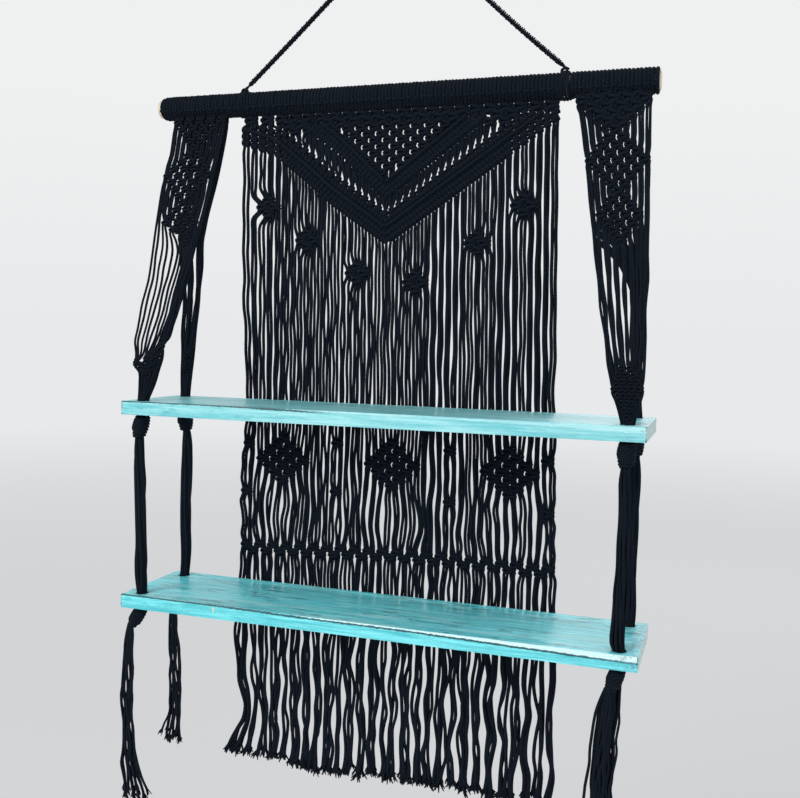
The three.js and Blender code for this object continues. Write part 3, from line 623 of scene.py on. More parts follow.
for cord, name in declaredFringe.items():
    declareStrand(name, "panel_fringe", *panelLines[cord])
print("panel built")

# Corner straps: 20 cords each, from the dowel down to the bundle in the board's hole
corners = {"front_left": (-277, -111), "rear_left": (-277, -17), "front_right": (283, -111),
           "rear_right": (283, -17)}
strapHang = {"left": -258, "right": 246, "front": -15.35, "rear": 0.65, "top": -246, "foot": -594}
# closed: rows at the top whose knots are bigger and touch; snug: how much of its place a knot fills
strapKnot = {"left": {"closed": 0, "snug": 0.94}, "right": {"closed": 4, "snug": 0.98}, "width": 11.6,
             "deep": 0.85}
diamonds = (5, 4, 3, 2, 1, 2, 3, 4, 5, 4, 3, 2, 1, 2, 3, 4, 3, 2, 1)
# rows: knots in each row of the net; first: its first row, their pitch and how much it grows; gather: the
# small net at the foot; crowd and loose: where between the nets the cords leave their even places, and where
# they then lie, as shares of the length and of the width; left and right: the strap's edges down its length
straps = {
    "front_left": {
        "rows": diamonds, "first": (6.0, 8.86, 0), "knot": (1.04, 1.5), "paired": 0.3, "gather": (5, 4, 3, 2),
        "gatherAt": 0.845, "gatherPitch": 7.6, "slope": 10.5, "crowd": (0.36, 0.48, 0.80, 0.90),
        "loose": (0, .105, .24, .36, .49, .61, .70, .80, .817, .834, .85, .867, .884, .90, .917, .934, .95,
                  .967, .984, 1),
        "left": ((0, .15, .19, .27, .39, .5, .57, .73, .79, .83, .876, .93, 1),
                 (-38, -34, -37, -36.5, -34, -31, -29, -30, -31, -27, -19, -11, -6.5)),
        "right": ((0, .25, .32, .37, .445, .55, .6, .655, .71, .77, .82, .87, .92, .97, 1),
                  (36, 34.5, 34, 32.6, 29.3, 27.5, 25.5, 23.6, 22.5, 18.6, 16.1, 13.9, 12, 9.5, 6.5))},
    "rear_left": {
        "rows": diamonds[:5], "first": (4.0, 8.2, 0), "knot": (1.0, 1.5), "paired": 0.3,
        "gather": (3, 2, 1), "gatherAt": 0.86, "gatherPitch": 7.4, "slope": 9,
        "crowd": (0.06, 0.16, 0.72, 0.88),
        "loose": (0, .06, .11, .33, .37, .40, .42, .45, .47, .50, .52, .55, .80, .83, .86, .89, .92, .95,
                  .975, 1),
        "left": ((0, .05, .12, .3, .42, .46, .54, .62, .72, .83, 1),
                 (-40, -31, -21, -23, -28, -27, -21.5, -15.5, -13.7, -10.5, -6.5)),
        "right": ((0, .1, .25, .35, .43, .54, .65, .83, 1), (31, 27, 18, 11, 8, 8.5, 9.5, 7, 6.5))},
    "front_right": {
        "rows": diamonds, "first": (6.0, 8.86, 0), "knot": (1.12, 1.66), "paired": 0.35,
        "gather": (2, 3, 4, 5, 4, 3, 2, 1), "gatherAt": 0.842, "gatherPitch": 7.3, "slope": 0,
        "crowd": (0.36, 0.52, 0.76, 0.90),
        "loose": (0, .03, .06, .09, .187, .22, .25, .352, .385, .415, .525, .555, .67, .70, .80, .84, .88, .92,
                  .96, 1),
        "left": ((0, .1, .2, .42, .58, .73, .83, .9, .96, 1),
                 (-41, -37, -34, -29.5, -25.7, -21.6, -18.9, -15.5, -11, -7)),
        "right": ((0, .06, .23, .44, .59, .69, .84, .91, .97, 1),
                  (40, 39, 35.1, 30.3, 27, 24, 20.3, 17, 11.5, 7))},
    "rear_right": {
        "rows": diamonds[1:5] + diamonds[4:], "first": (2.1, 8.22, 0.016), "knot": (1.05, 1.6), "paired": 0.1,
        "gather": (3, 2, 1), "gatherAt": 0.88, "gatherPitch": 7.4, "slope": 0,
        "crowd": (0.38, 0.52, 0.76, 0.90),
        "loose": (0, .06, .12, .17, .23, .28, .33, .38, .43, .48, .53, .58, .63, .68, .73, .78, .83, .88,
                  .93, 1),
        "left": ((0, .054, .123, .192, .272, .343, .414, .44, .52, .6, .76, 1),
                 (-42.1, -40.3, -38.7, -37.5, -36.6, -35.9, -35.1, -33, -10, 2, -1.5, -6.5)),
        "right": ((0, .077, .145, .213, .292, .362, .433, .64, .7, .8, .9, 1),
                  (38.8, 36.8, 34.8, 32.8, 30.5, 28.5, 26.4, 19.5, 15.5, 10.5, 8, 6.5))},
}


def tieStrap(corner, spec, seed):
    depth, side = corner.split("_")
    top = np.array((strapHang[side], strapHang[depth], strapHang["top"]))
    foot = np.array((*corners[corner], strapHang["foot"]), float)
    long = float(np.linalg.norm(foot - top))
    way = (foot - top) / long
    outward = np.array((0.0, way[2], -way[1]))
    outward /= np.linalg.norm(outward)

    def across(cord, down):
        share = min(max(down / long, 0), 1)
        left, right = curve(share, *spec["left"]), curve(share, *spec["right"])
        crowd = curve(share, spec["crowd"], (0.0, 1.0, 1.0, 0.0))
        place = cord / 19 * (1 - crowd) + spec["loose"][cord] * crowd
        return left + 1.5 + place * (right - left - 3.0) + sideOf(cord) * spec["paired"] * (1 - crowd)

    def outOf(cord, down):
        # crowded cords lie in layers, round in the board's hole
        near = (across(min(cord + 1, 19), down) - across(max(cord - 1, 0), down)) / (2 if 0 < cord < 19 else 1)
        thick = max(0.0, 2.7 - near) / 2.7
        rounded = math.sqrt(max(0.0, 1 - ((cord - 9.5) / 10.5) ** 2))
        edge = curve(down / long, (0.85, 1), (0.55, rounded))
        return (0.9, -0.9, 0.3, -0.3)[cord * 7 % 4] * 5.4 * thick * edge

    drift, deep = driftOf(20, 0.9, (60, 110), seed), driftOf(20, 0.7, (50, 90), seed + 50)

    def free(cord, down, loose):
        calm = curve(down / long, (0, 0.45, 0.55, 0.85, 1), (0.25, 0.4, 1.0, 0.8, 0.3))
        return (across(cord, down) + drift(cord, down) * calm * loose,
                outOf(cord, down) + deep(cord, down) * calm * loose)

    def fill(cord, down):
        return (across(cord + 3, down) - across(cord, down)) / strapKnot["width"]

    events = [[] for _ in range(20)]
    first, pitch, growth = spec["first"]
    for row, knots in enumerate(spec["rows"]):
        down = first + row * (pitch + growth * row)
        full = 1.16 if row < strapKnot[side]["closed"] else 1.0
        for cord in range(10 - 2 * knots, 10 + 2 * knots, 4):
            wide = min(1.14, max(0.55, fill(cord, down) * strapKnot[side]["snug"] * full))
            squareKnot(events, cord, coresMiddle(across, cord, down), down + dice.uniform(-0.2, 0.2), wide,
                       spec["knot"][0] * full, strapKnot["deep"], spec["knot"][1] * full)
    if corner == "front_right":  # a row of knots tucked up against the dowel
        for cord in (2, 6, 10, 14):
            squareKnot(events, cord, coresMiddle(across, cord, 0), -2.4, 1.1, 1.1, 0.8, 1.8)
    for row, knots in enumerate(spec["gather"]):
        level = long * spec["gatherAt"] + row * spec["gatherPitch"]
        for cord in range(10 - 2 * knots, 10 + 2 * knots, 4):
            down = level - spec["slope"] * (cord - 8) / 8 * (1 - row / len(spec["gather"]))
            squareKnot(events, cord, coresMiddle(across, cord, level), down,
                       min(0.95, max(0.5, fill(cord, down) * 0.95)), 0.82, 0.95, 1.4, out=2.4)
    lines, piece = [], f"strap_{corner}"
    for cord in range(20):
        start = across(cord, 0)
        points, names = layCord(events, cord,
                                [(start, -14.0, 2.0 if depth == "front" else 0.0), (start, -8.5, 0.8)],
                                long + 4, free, lambda across, down: piece, apart=15.0, radius=1.5)
        points[:, 3] *= np.interp(points[:, 1] / long, (0.32, 0.42, 0.8, 1.0), (1.1, 1.0, 0.95, 0.92))
        points[:, :3] = top + points[:, 1:2] * way + points[:, 0:1] * (1, 0, 0) + points[:, 2:3] * outward
        lines.append((points, names))
    layTubes(lines)
    buildPiece(piece, "upper_shelf")


for seed, (corner, spec) in enumerate(straps.items(), 21):
    tieStrap(corner, spec, seed)
print("straps built")


goldenAngle = 2.39996


def bundleLines(piece, spine, radii, count, radius, seed, twist=0.0, wander=0.4):
    # strands side by side down a spine, their places spread over a disc
    own = np.random.default_rng(seed)
    lines = []
    for k in range(count):
        reach, angle = math.sqrt((k + 0.5) / count), k * goldenAngle
        phase, waves = own.random(2) * 6.28, own.uniform(45, 110, 2)
        controls = []
        for (x, y, z), disc in zip(spine, radii):
            drop = spine[0][2] - z
            turned = angle + twist * drop
            swayX, swayY = (wander * math.sin(drop / waves[i] * 6.28 + phase[i]) for i in range(2))
            controls.append((x + disc * reach * math.cos(turned) + swayX,
                             y + disc * reach * math.sin(turned) + swayY, z, radius))
        lines.append(cordLine(controls, piece))
    return lines


def cordKnot(piece, x, y, z, width, height, lean, turns, seed, radius=1.95):
    # a big knot of the whole bundle: round wraps, and a fold of cords slanting over them
    thick = width / 2 - radius

    def onKnot(angle, reach, rise):
        return (x + lean * (0.5 - rise / height) + reach * math.cos(angle), y + reach * math.sin(angle),
                z + rise, radius)

    controls = []
    for t in np.linspace(0, 1, turns * 12 + 1):
        angle = t * turns * 2 * math.pi + seed
        reach = (thick - 0.9) * (0.50 + 0.50 * math.sin(math.pi * (0.22 + 0.68 * t)) ** 0.7)
        controls.append(onKnot(angle, reach,
                               (height / 2 - radius - 0.8) * (1 - 2 * t) + 1.3 * math.cos(angle - 0.6)))
    lines = [cordLine(controls, piece)]
    for k in range(6):
        controls = []
        for t in np.linspace(0, 1, 10):
            fan = 0.55 + 0.45 * math.sin(math.pi * min(1, t * 1.1))
            rise = (0.30 - 0.42 * t) * height + (k - 2.5) * radius * 1.35 * fan
            bulge = math.sqrt(max(0.1, 1 - (rise / (height * 0.62)) ** 2))
            reach = (thick + 0.2) * bulge - 2.2 * abs(2 * t - 1) ** 3
            controls.append(onKnot(math.radians(-205 + 198 * t), reach, rise))
        lines.append(cordLine(controls, piece))
    spine = [(x + lean * s, y, z + height * (0.5 - s) * 0.98) for s in (0, 0.25, 0.5, 0.75, 1)]
    return lines + bundleLines(piece, spine, (4.4, 4.4, 4.8, 4.2, 3.4), 14, 1.45, seed)


# Below the upper board: how far each stopper knot and lower knot leans, and each lower strap's radius and
# sideways bow at the levels of its spine
lowerSize = {"stopperZ": -624.6, "knotZ": -853.8, "stopper": (21.5, 29), "knot": (20, 27),
             "holeSpine": (-590, -602, -612)}
spineLevels = (-634, -641, -652, -668, -690, -715, -740, -765, -788, -803, -812, -819, -826, -846)
lowerShape = {
    "front_left": {"stopperLean": -5.6, "lean": -13.2,
                   "radii": (3.6, 4.4, 5.5, 6.0, 6.0, 5.8, 6.1, 6.3, 6.2, 5.9, 5.7, 5.5, 5.1, 5.0),
                   "bow": (-5.2, -5.0, -4.8, -4.8, -4.0, -3.0, -2.3, -1.8, -1.8, -1.7, -1.5, -1.2, -0.5, 0)},
    "rear_left": {"stopperLean": 2.0, "lean": -15.4,
                  "radii": (3.4, 4.4, 5.6, 6.4, 6.6, 6.4, 6.2, 6.1, 5.9, 5.6, 5.4, 5.2, 4.8, 4.8),
                  "bow": (1.6, 2.4, 3.4, 3.8, 3.2, 2.2, 2.0, 2.6, 3.0, 2.6, 2.0, 1.4, 0.6, 0)},
    "front_right": {"stopperLean": 0.0, "lean": -6.6,
                    "radii": (4.2, 4.8, 5.2, 5.4, 5.7, 6.0, 6.3, 6.6, 6.9, 7.1, 7.1, 6.8, 5.3, 5.0),
                    "bow": (0, 0, -0.3, -0.2, 0.3, 0.2, -0.5, -1.4, -2.3, -2.9, -2.8, -2.2, 0, 0)},
    "rear_right": {"stopperLean": 0.0, "lean": -6.6,
                   "radii": (4.0, 4.6, 5.2, 5.4, 5.5, 5.4, 5.5, 5.6, 5.6, 5.4, 5.3, 5.2, 5.1, 5.0),
                   "bow": (0, 0.4, 0.8, 1.0, 0.7, 0.3, 0, -0.2, 0, 0.3, 0.3, 0.2, 0, 0)},
}
# Tails: path, spread of the files and stray files are given at six even levels from the knot down
tailBuild = {"levels": (0, 0.2, 0.4, 0.6, 0.8, 1), "headZ": -864, "points": 17, "declared": (14, 17, 19),
             "files": 5, "shorter": 0.07, "wobble": 0.35, "layers": 2.4, "layersOpen": 1.1, "backStray": 0.12}
tailShape = {
    "front_left": {"foot": -1078, "path": (-3.5, -6.5, -8, -7, -5, 3), "spread": (2.2, 3.0, 3.2, 3.2, 3.8, 6.2),
                   "strand": 1.45, "stagger": 0.0, "slant": -0.67,
                   "stray": {4: (0, 0, 0, 1, 5, 12), 0: (0, 0, 0, 0, -2, 1)}},
    "rear_left": {"foot": -1043, "path": (-0.5, 0, 2, 3.5, 3.5, 0), "spread": (2.0, 2.6, 3.0, 3.2, 3.3, 4.2),
                  "strand": 1.42, "stagger": 0.0, "slant": -0.61,
                  "stray": {0: (0, 0, -1, 0, -2, -13), 4: (0, 1.5, 2, 1, 1, 1)}},
    "front_right": {"foot": -1076, "path": (-3, -7.2, -9.8, -11, -12, -13),
                    "spread": (2.2, 2.6, 2.5, 2.5, 2.7, 3.4), "strand": 1.62, "stagger": 0.5, "slant": -0.11,
                    "stray": {0: (-0.5, -5, -4.5, -10.5, -12, -12)}},
    "rear_right": {"foot": -1046, "path": (-2, -7, -9.5, -12.5, -13.5, -12),
                   "spread": (2.0, 2.5, 2.6, 2.7, 3.1, 4.2), "strand": 1.55, "stagger": 0.6, "slant": -0.1,
                   "stray": {4: (0, 2, 5.8, 5.4, 0, 0)}},
}


def tailLines(piece, x, y, spec, seed):
    # five files of four strands; light shows between the files
    own = np.random.default_rng(seed)
    drift = driftOf(tailBuild["files"], 1.6, (38, 70, 120), seed)
    lines = []
    for k in range(20):
        rank, depth = k % tailBuild["files"], k // tailBuild["files"]
        short = 0.0 if k in tailBuild["declared"] else own.uniform(0, tailBuild["shorter"])
        offsets = own.uniform(-tailBuild["wobble"], tailBuild["wobble"], tailBuild["points"])
        controls = []
        for share, offset in zip(np.linspace(0, 1, tailBuild["points"]) * (1 - short), offsets):
            path, spread, stray = (curve(share, tailBuild["levels"], heights) for heights in
                                   (spec["path"], spec["spread"], spec["stray"].get(rank, (0,) * 6)))
            slack = min(1.0, share * 4)
            tight = curve(share, (0, 0.075), (0.5, 1))  # the strands leave the knot close together
            apart = tailBuild["layers"] + tailBuild["layersOpen"] * share
            place = ((rank - 2 + (depth % 2 - 0.5) * spec["stagger"]) * spread * tight
                     + spec["slant"] * (depth - 1.5) * apart * tight)
            controls.append((x + path + place + stray * (1.0 if depth == 0 else tailBuild["backStray"])
                             + (drift(rank, share * 210) + offset) * slack,
                             y + (depth - 1.5) * apart * tight + offset * 1.5 * slack,
                             tailBuild["headZ"] + (spec["foot"] - tailBuild["headZ"]) * share, spec["strand"]))
        lines.append(cordLine(controls, piece))
    return lines


for index, (corner, (x, y)) in enumerate(corners.items()):
    shape = lowerShape[corner]
    stopper, lower, knot, tail = (f"{kind}_{corner}"
                                  for kind in ("stopper_knot", "lower_strap", "lower_knot", "tail"))
    layTubes(bundleLines(stopper, [(x, y, z) for z in lowerSize["holeSpine"]], (5.0,) * 3, 20, 1.4, index))
    layTubes(cordKnot(stopper, x, y, lowerSize["stopperZ"], *lowerSize["stopper"], shape["stopperLean"], 7,
                      index + 1))
    spine = [(x + bow, y, z) for z, bow in zip(spineLevels, shape["bow"])]
    layTubes(bundleLines(lower, spine, shape["radii"], 20, 1.5, index + 7, 0.005, 0.6))
    layTubes(cordKnot(knot, x, y, lowerSize["knotZ"], *lowerSize["knot"], shape["lean"], 6, index + 3))
    strands, tips = tailLines(tail, x + shape["lean"], y, tailShape[corner], index + 30), []
    for k, (controls, names) in enumerate(strands):
        if k in tailBuild["declared"]:
            names[:] = [f"{tail}_cord_{tailBuild['declared'].index(k) + 1}"] * len(names)
        tips += frayed(controls, tail, *fray["tail"])
    layTubes(strands)
    layTubes(tips, cordBuild["fraySides"])
    buildPiece(stopper, "upper_shelf")
    if corner.startswith("rear"):
        buildPiece(lower, "lower_straps_rear")
    else:  # front straps: left without a body, their placement baked into the mesh; the cords stay upright in the board's hole and bend above it
        strap = buildPiece(lower, None)
        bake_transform(strap)
    buildPiece(knot, "lower_shelf")
    buildPiece(tail, "tassel_" + corner)
    for k in tailBuild["declared"]:
        declareStrand(strands[k][1][0], "tassel_" + corner, *strands[k])
print("knots, lower straps and tails built")

# Dowel cover: rows of lark's head knots
rows = {"pitch": 4.28, "radius": 2.42, "axisY": -7.35, "axisZ": -232.0, "reach": 12.5, "left": -315,
        "right": 294.2, "ties": (-200.35, 192.35), "tieHalf": 5.6, "bar": 1.6}


def roundDowel(x, reach, angle, radius):
    return x, rows["axisY"] + reach * math.cos(angle), rows["axisZ"] + reach * math.sin(angle), radius


def coverDowel():
    lines = []
    place, index = rows["left"] + rows["radius"], 0
    while place < rows["right"] - 1:
        if all(abs(place - tie) >= rows["tieHalf"] for tie in rows["ties"]):
            which = "left" if place < rows["ties"][0] else "right" if place > rows["ties"][1] else "centre"
            piece = f"dowel_knots_{which}"
            wobble = dice.uniform(-0.22, 0.22, 3)
            reach = rows["reach"] + wobble[2] + curve(place - rows["left"], (0, 4, 9), (-2.2, -0.5, 0))
            lines.append(cordLine([roundDowel(place + wobble[0] * 1.1 + 0.3 * math.sin(a + wobble[1] * 9),
                                              reach, a, rows["radius"])
                                   for a in np.radians(np.linspace(0, 360, 21)) + 0.4], piece))
            if index % 2 == 0 and place < rows["right"] - 6:
                # the loop bar that crosses the pair of wraps, low on the front
                bar = []
                for t in np.linspace(0, 1, 7):
                    arch = math.sin(math.pi * t)
                    bar.append(roundDowel(place - 1.6 + t * (rows["pitch"] + 3.2), rows["reach"] + 1.9 * arch,
                                          math.radians(202 + 3 * arch + wobble[1] * 10), rows["bar"]))
                lines.append(cordLine(bar, piece))
        index += 1
        place += rows["pitch"]
    layTubes(lines)
    for which in ("left", "centre", "right"):
        buildPiece(f"dowel_knots_{which}", "hung_frame")


coverDowel()

# Ties of the hanger cord round the dowel, and the spiral legs: two strands laid round a core in half knots
hanger = {"foot": {"left": (-202.7, -7.35, -214.5), "right": (194.8, -7.35, -214.5)},
          "head": {"left": (-3.4, 0, -29.0), "right": (3.4, 0, -29.0)}, "sag": {"left": 1.5, "right": 4.5},
          "cord": 1.1, "core": 1.75, "bump": 0.75, "halfKnot": 2.7, "turn": math.radians(62), "each": 0.2}


tie = {"wraps": 4, "pitch": 3.0, "first": -4.5, "cord": 1.7, "slew": 0.8, "outer": 14.3, "inner": 14.8,
       "knotCords": 3, "knotCord": 1.35, "knotPitch": 1.6, "knotWide": 3.1, "knotTall": 2.9,
       "knotY": -5.5, "knotZ": -217.6}


def wrapTie(side, x):
    piece = f"leg_tie_{side}"
    lines = []
    for k in range(tie["wraps"]):
        place, reach = x + tie["first"] + k * tie["pitch"], tie["outer" if k in (0, 3) else "inner"]
        lines.append(cordLine([roundDowel(place + tie["slew"] * math.sin(a + k), reach, a, tie["cord"])
                               for a in np.radians(np.linspace(0, 360, 25)) + 0.9 + k], piece))
    # the small knot where the leg leaves its tie
    middle = x + (1 if side == "left" else -1)
    for k in range(tie["knotCords"]):
        y = rows["axisY"] + tie["knotY"] + (k - 1) * tie["knotPitch"]
        lines.append(cordLine([(middle + tie["knotWide"] * math.cos(a), y,
                                tie["knotZ"] + tie["knotTall"] * math.sin(a) + 0.3 * k, tie["knotCord"])
                               for a in np.radians(np.linspace(0, 330, 13)) + k * 2.1], piece))
    layTubes(lines)
    buildPiece(piece, "hung_frame")


def spiralLeg(side):
    piece = f"hanger_leg_{side}"
    foot = np.array(hanger["foot"][side])
    way = np.array(hanger["head"][side]) - foot
    long = float(np.linalg.norm(way))
    way /= long
    sideways = np.cross(way, (0, 1, 0))
    sideways = sideways if sideways[2] < 0 else -sideways
    depth = np.cross(way, sideways)

    def spineAt(drop):
        share = drop / long
        return foot + way * drop + sideways * hanger["sag"][side] * 4 * share * (1 - share)

    lines = []
    for strand in range(2):
        controls = []
        t = drop = 0.0
        while drop < long:
            plain = 1 - min(1, max(0, (drop - 9) / 3))  # the two strands lie plain at the foot
            turned = math.pi * (t + strand)
            lumps = math.cos(turned - hanger["turn"] * t) ** 2
            reach = (hanger["core"] + hanger["bump"] * lumps) * (1 - plain) + 1.05 * plain
            point = spineAt(drop) + reach * (math.cos(turned) * sideways + math.sin(turned) * depth)
            controls.append((*point, hanger["cord"]))
            t += hanger["each"] * (1 - 0.75 * plain)
            drop += hanger["each"] * hanger["halfKnot"]
        lines.append(cordLine(controls, piece))
    core = [spineAt(drop) for drop in np.linspace(0, long, 30)]
    layTubes(lines + [cordLine([(*point, 1.0) for point in core], piece)])
    leg = buildPiece(piece, "hung_frame", "_cord")
    path = [tuple(point * mm) for point in core]


for side, x in zip(("left", "right"), rows["ties"]):
    wrapTie(side, x)
for side in ("left", "right"):
    spiralLeg(side)

# The eye for the nail, wrapped with cord, and the binding that holds both legs under it
eye = {"ring": 9.0, "wrap": 1.95, "wraps": 26, "binding": 5.3, "bindingTop": -14.2, "bindingLong": 13.0,
       "turns": 5, "wrapCord": 1.05, "cord": 1.5, "coreCord": 1.9, "coreZ": (-13.5, -21, -29),
       "coreAt": ((-2.4, 0), (2.4, 0), (0, 2.2), (0, -2.2))}


def makeEye():
    wrapped = []
    for t in np.linspace(0, 1, eye["wraps"] * 10 + 1):
        big, small = t * 2 * math.pi, t * eye["wraps"] * 2 * math.pi
        reach = eye["ring"] + eye["wrap"] * math.cos(small)
        wrapped.append((reach * math.cos(big), eye["wrap"] * math.sin(small), reach * math.sin(big),
                        eye["wrapCord"]))
    ring = [(eye["ring"] * math.cos(a), 0, eye["ring"] * math.sin(a), eye["cord"])
            for a in np.linspace(0, 2 * math.pi, 33)]
    layTubes([cordLine(wrapped, "hanging_eye"), cordLine(ring, "hanging_eye")])
    buildPiece("hanging_eye", "eye", "_cord")
    whole = eye["turns"] * 2 * math.pi
    wraps = [(eye["binding"] * math.cos(a), eye["binding"] * math.sin(a),
              eye["bindingTop"] - eye["bindingLong"] * a / whole, eye["cord"])
             for a in np.linspace(0, whole, eye["turns"] * 20 + 1)]
    layTubes([cordLine(wraps, "eye_binding")]
             + [cordLine([(x, y, z, eye["coreCord"]) for z in eye["coreZ"]], "eye_binding")
                for x, y in eye["coreAt"]])
    buildPiece("eye_binding", "hung_frame", "_cord")


makeEye()
print("dowel cover and hanger built")

# Dowel of pale wood, turned, with softened ends
dowelSize = {"from": -319.5, "to": 294.8, "radius": 11.0, "edge": 1.6}


def woodFinish():
    f = Finish(bpy.data.materials.new("pale_wood"))
    place = f.add("ShaderNodeTexCoord", {}, {}, 3)
    grain = f.noise(f.stretch(place, (6, 160, 160)), 3.0, 4.0, 0.6, 0.6)
    pores = f.noise(f.stretch(place, (25, 900, 900)), 2.0, 2.0, 0.7)
    colour = f.mix(f.span(grain, 0.3, 0.7), (0.50, 0.42, 0.31, 1), (0.64, 0.56, 0.45, 1))
    colour = f.mix(f.span(pores, 0.58, 0.75) * 0.5, colour, (0.36, 0.23, 0.11, 1))
    bump = f.add("ShaderNodeBump", {}, {"Strength": 0.4, "Distance": 0.0004, "Height": grain + pores * 0.5})
    return f.close({"Base Color": colour, "Roughness": f.span(grain, 0, 1, 0.5, 0.7), "Normal": bump})


def choose(piece):
    bpy.ops.object.select_all(action="DESELECT")
    piece.select_set(True)
    bpy.context.view_layer.objects.active = piece


def soften(piece, width, limit, smooth):
    bevel = piece.modifiers.new("edges", "BEVEL")
    bevel.width, bevel.segments, bevel.limit_method = width * mm, 3, "ANGLE"
    bevel.angle_limit = math.radians(limit)
    bpy.ops.object.modifier_apply(modifier="edges")
    bpy.ops.object.shade_smooth_by_angle(angle=math.radians(smooth))


def finishPiece(piece, name, body, node, material):
    piece.name = name
    choose(piece)
    bpy.ops.object.transform_apply(location=True, rotation=True, scale=True)
    piece.data.materials.clear()
    piece.data.materials.append(material)
    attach(piece, body)
    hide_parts(node)


bpy.ops.object.select_all(action="DESELECT")
bpy.ops.mesh.primitive_cylinder_add(
    vertices=48, radius=dowelSize["radius"] * mm, depth=(dowelSize["to"] - dowelSize["from"]) * mm,
    location=((dowelSize["from"] + dowelSize["to"]) / 2 * mm, rows["axisY"] * mm, rows["axisZ"] * mm),
    rotation=(0, math.radians(90), 0))
dowel = bpy.context.object
soften(dowel, dowelSize["edge"], 30, 40)
finishPiece(dowel, "dowel_rod", "hung_frame", "dowel", woodFinish())

# Painted boards, worn at the edges
boards = {"upper_board": (-594.0, "upper_shelf"), "lower_board": (-824.0, "lower_shelf")}
boardSize = {"left": -297, "right": 303, "front": -126, "rear": -2, "thick": 16, "edge": 0.9, "hole": 7.5}
# deep and light tones of the front and of the top; how strong smears, the rubbed edge with its painted
# highlight and the dark edge line are
paintTones = {
    "upper_board": {"front": ((0.13, 0.50, 0.55, 1), (0.34, 0.69, 0.72, 1)),
                    "top": ((0.06, 0.38, 0.44, 1), (0.26, 0.66, 0.70, 1)),
                    "mark": 0.45, "rubAndHighlight": 0.22, "line": 0.9},
    "lower_board": {"front": ((0.05, 0.45, 0.51, 1), (0.20, 0.75, 0.81, 1)),
                    "top": ((0.03, 0.40, 0.47, 1), (0.20, 0.78, 0.85, 1)),
                    "mark": 1.0, "rubAndHighlight": 0.9, "line": 1.0},
}
paintMarks = {"dark": (0.010, 0.050, 0.062, 1), "pale": (0.66, 0.88, 0.90, 1), "haze": (0.38, 0.68, 0.68, 1),
              "bare": (0.60, 0.55, 0.40, 1), "scuff": (0.14, 0.13, 0.19, 1), "endFace": (0.60, 0.68, 0.63, 1),
              "chip": (-0.1732, -0.8295)}
# each noise: its stretch, then scale, detail, roughness and warp
paintNoise = {"grain": ((5.0, 110, 110), 3.0, 5.0, 0.62, 0.3), "haze": ((3.0, 20, 20), 3.0, 4.0, 0.55),
              "region": ((6.0, 16, 16), 1.6, 2.0, 0.5), "smears": ((15, 85, 85), 2.4, 5.0, 0.72, 0.4),
              "flecks": ((70, 380, 380), 2.0, 4.0, 0.7), "wear": ((55, 60, 60), 4.0, 4.0, 0.7)}


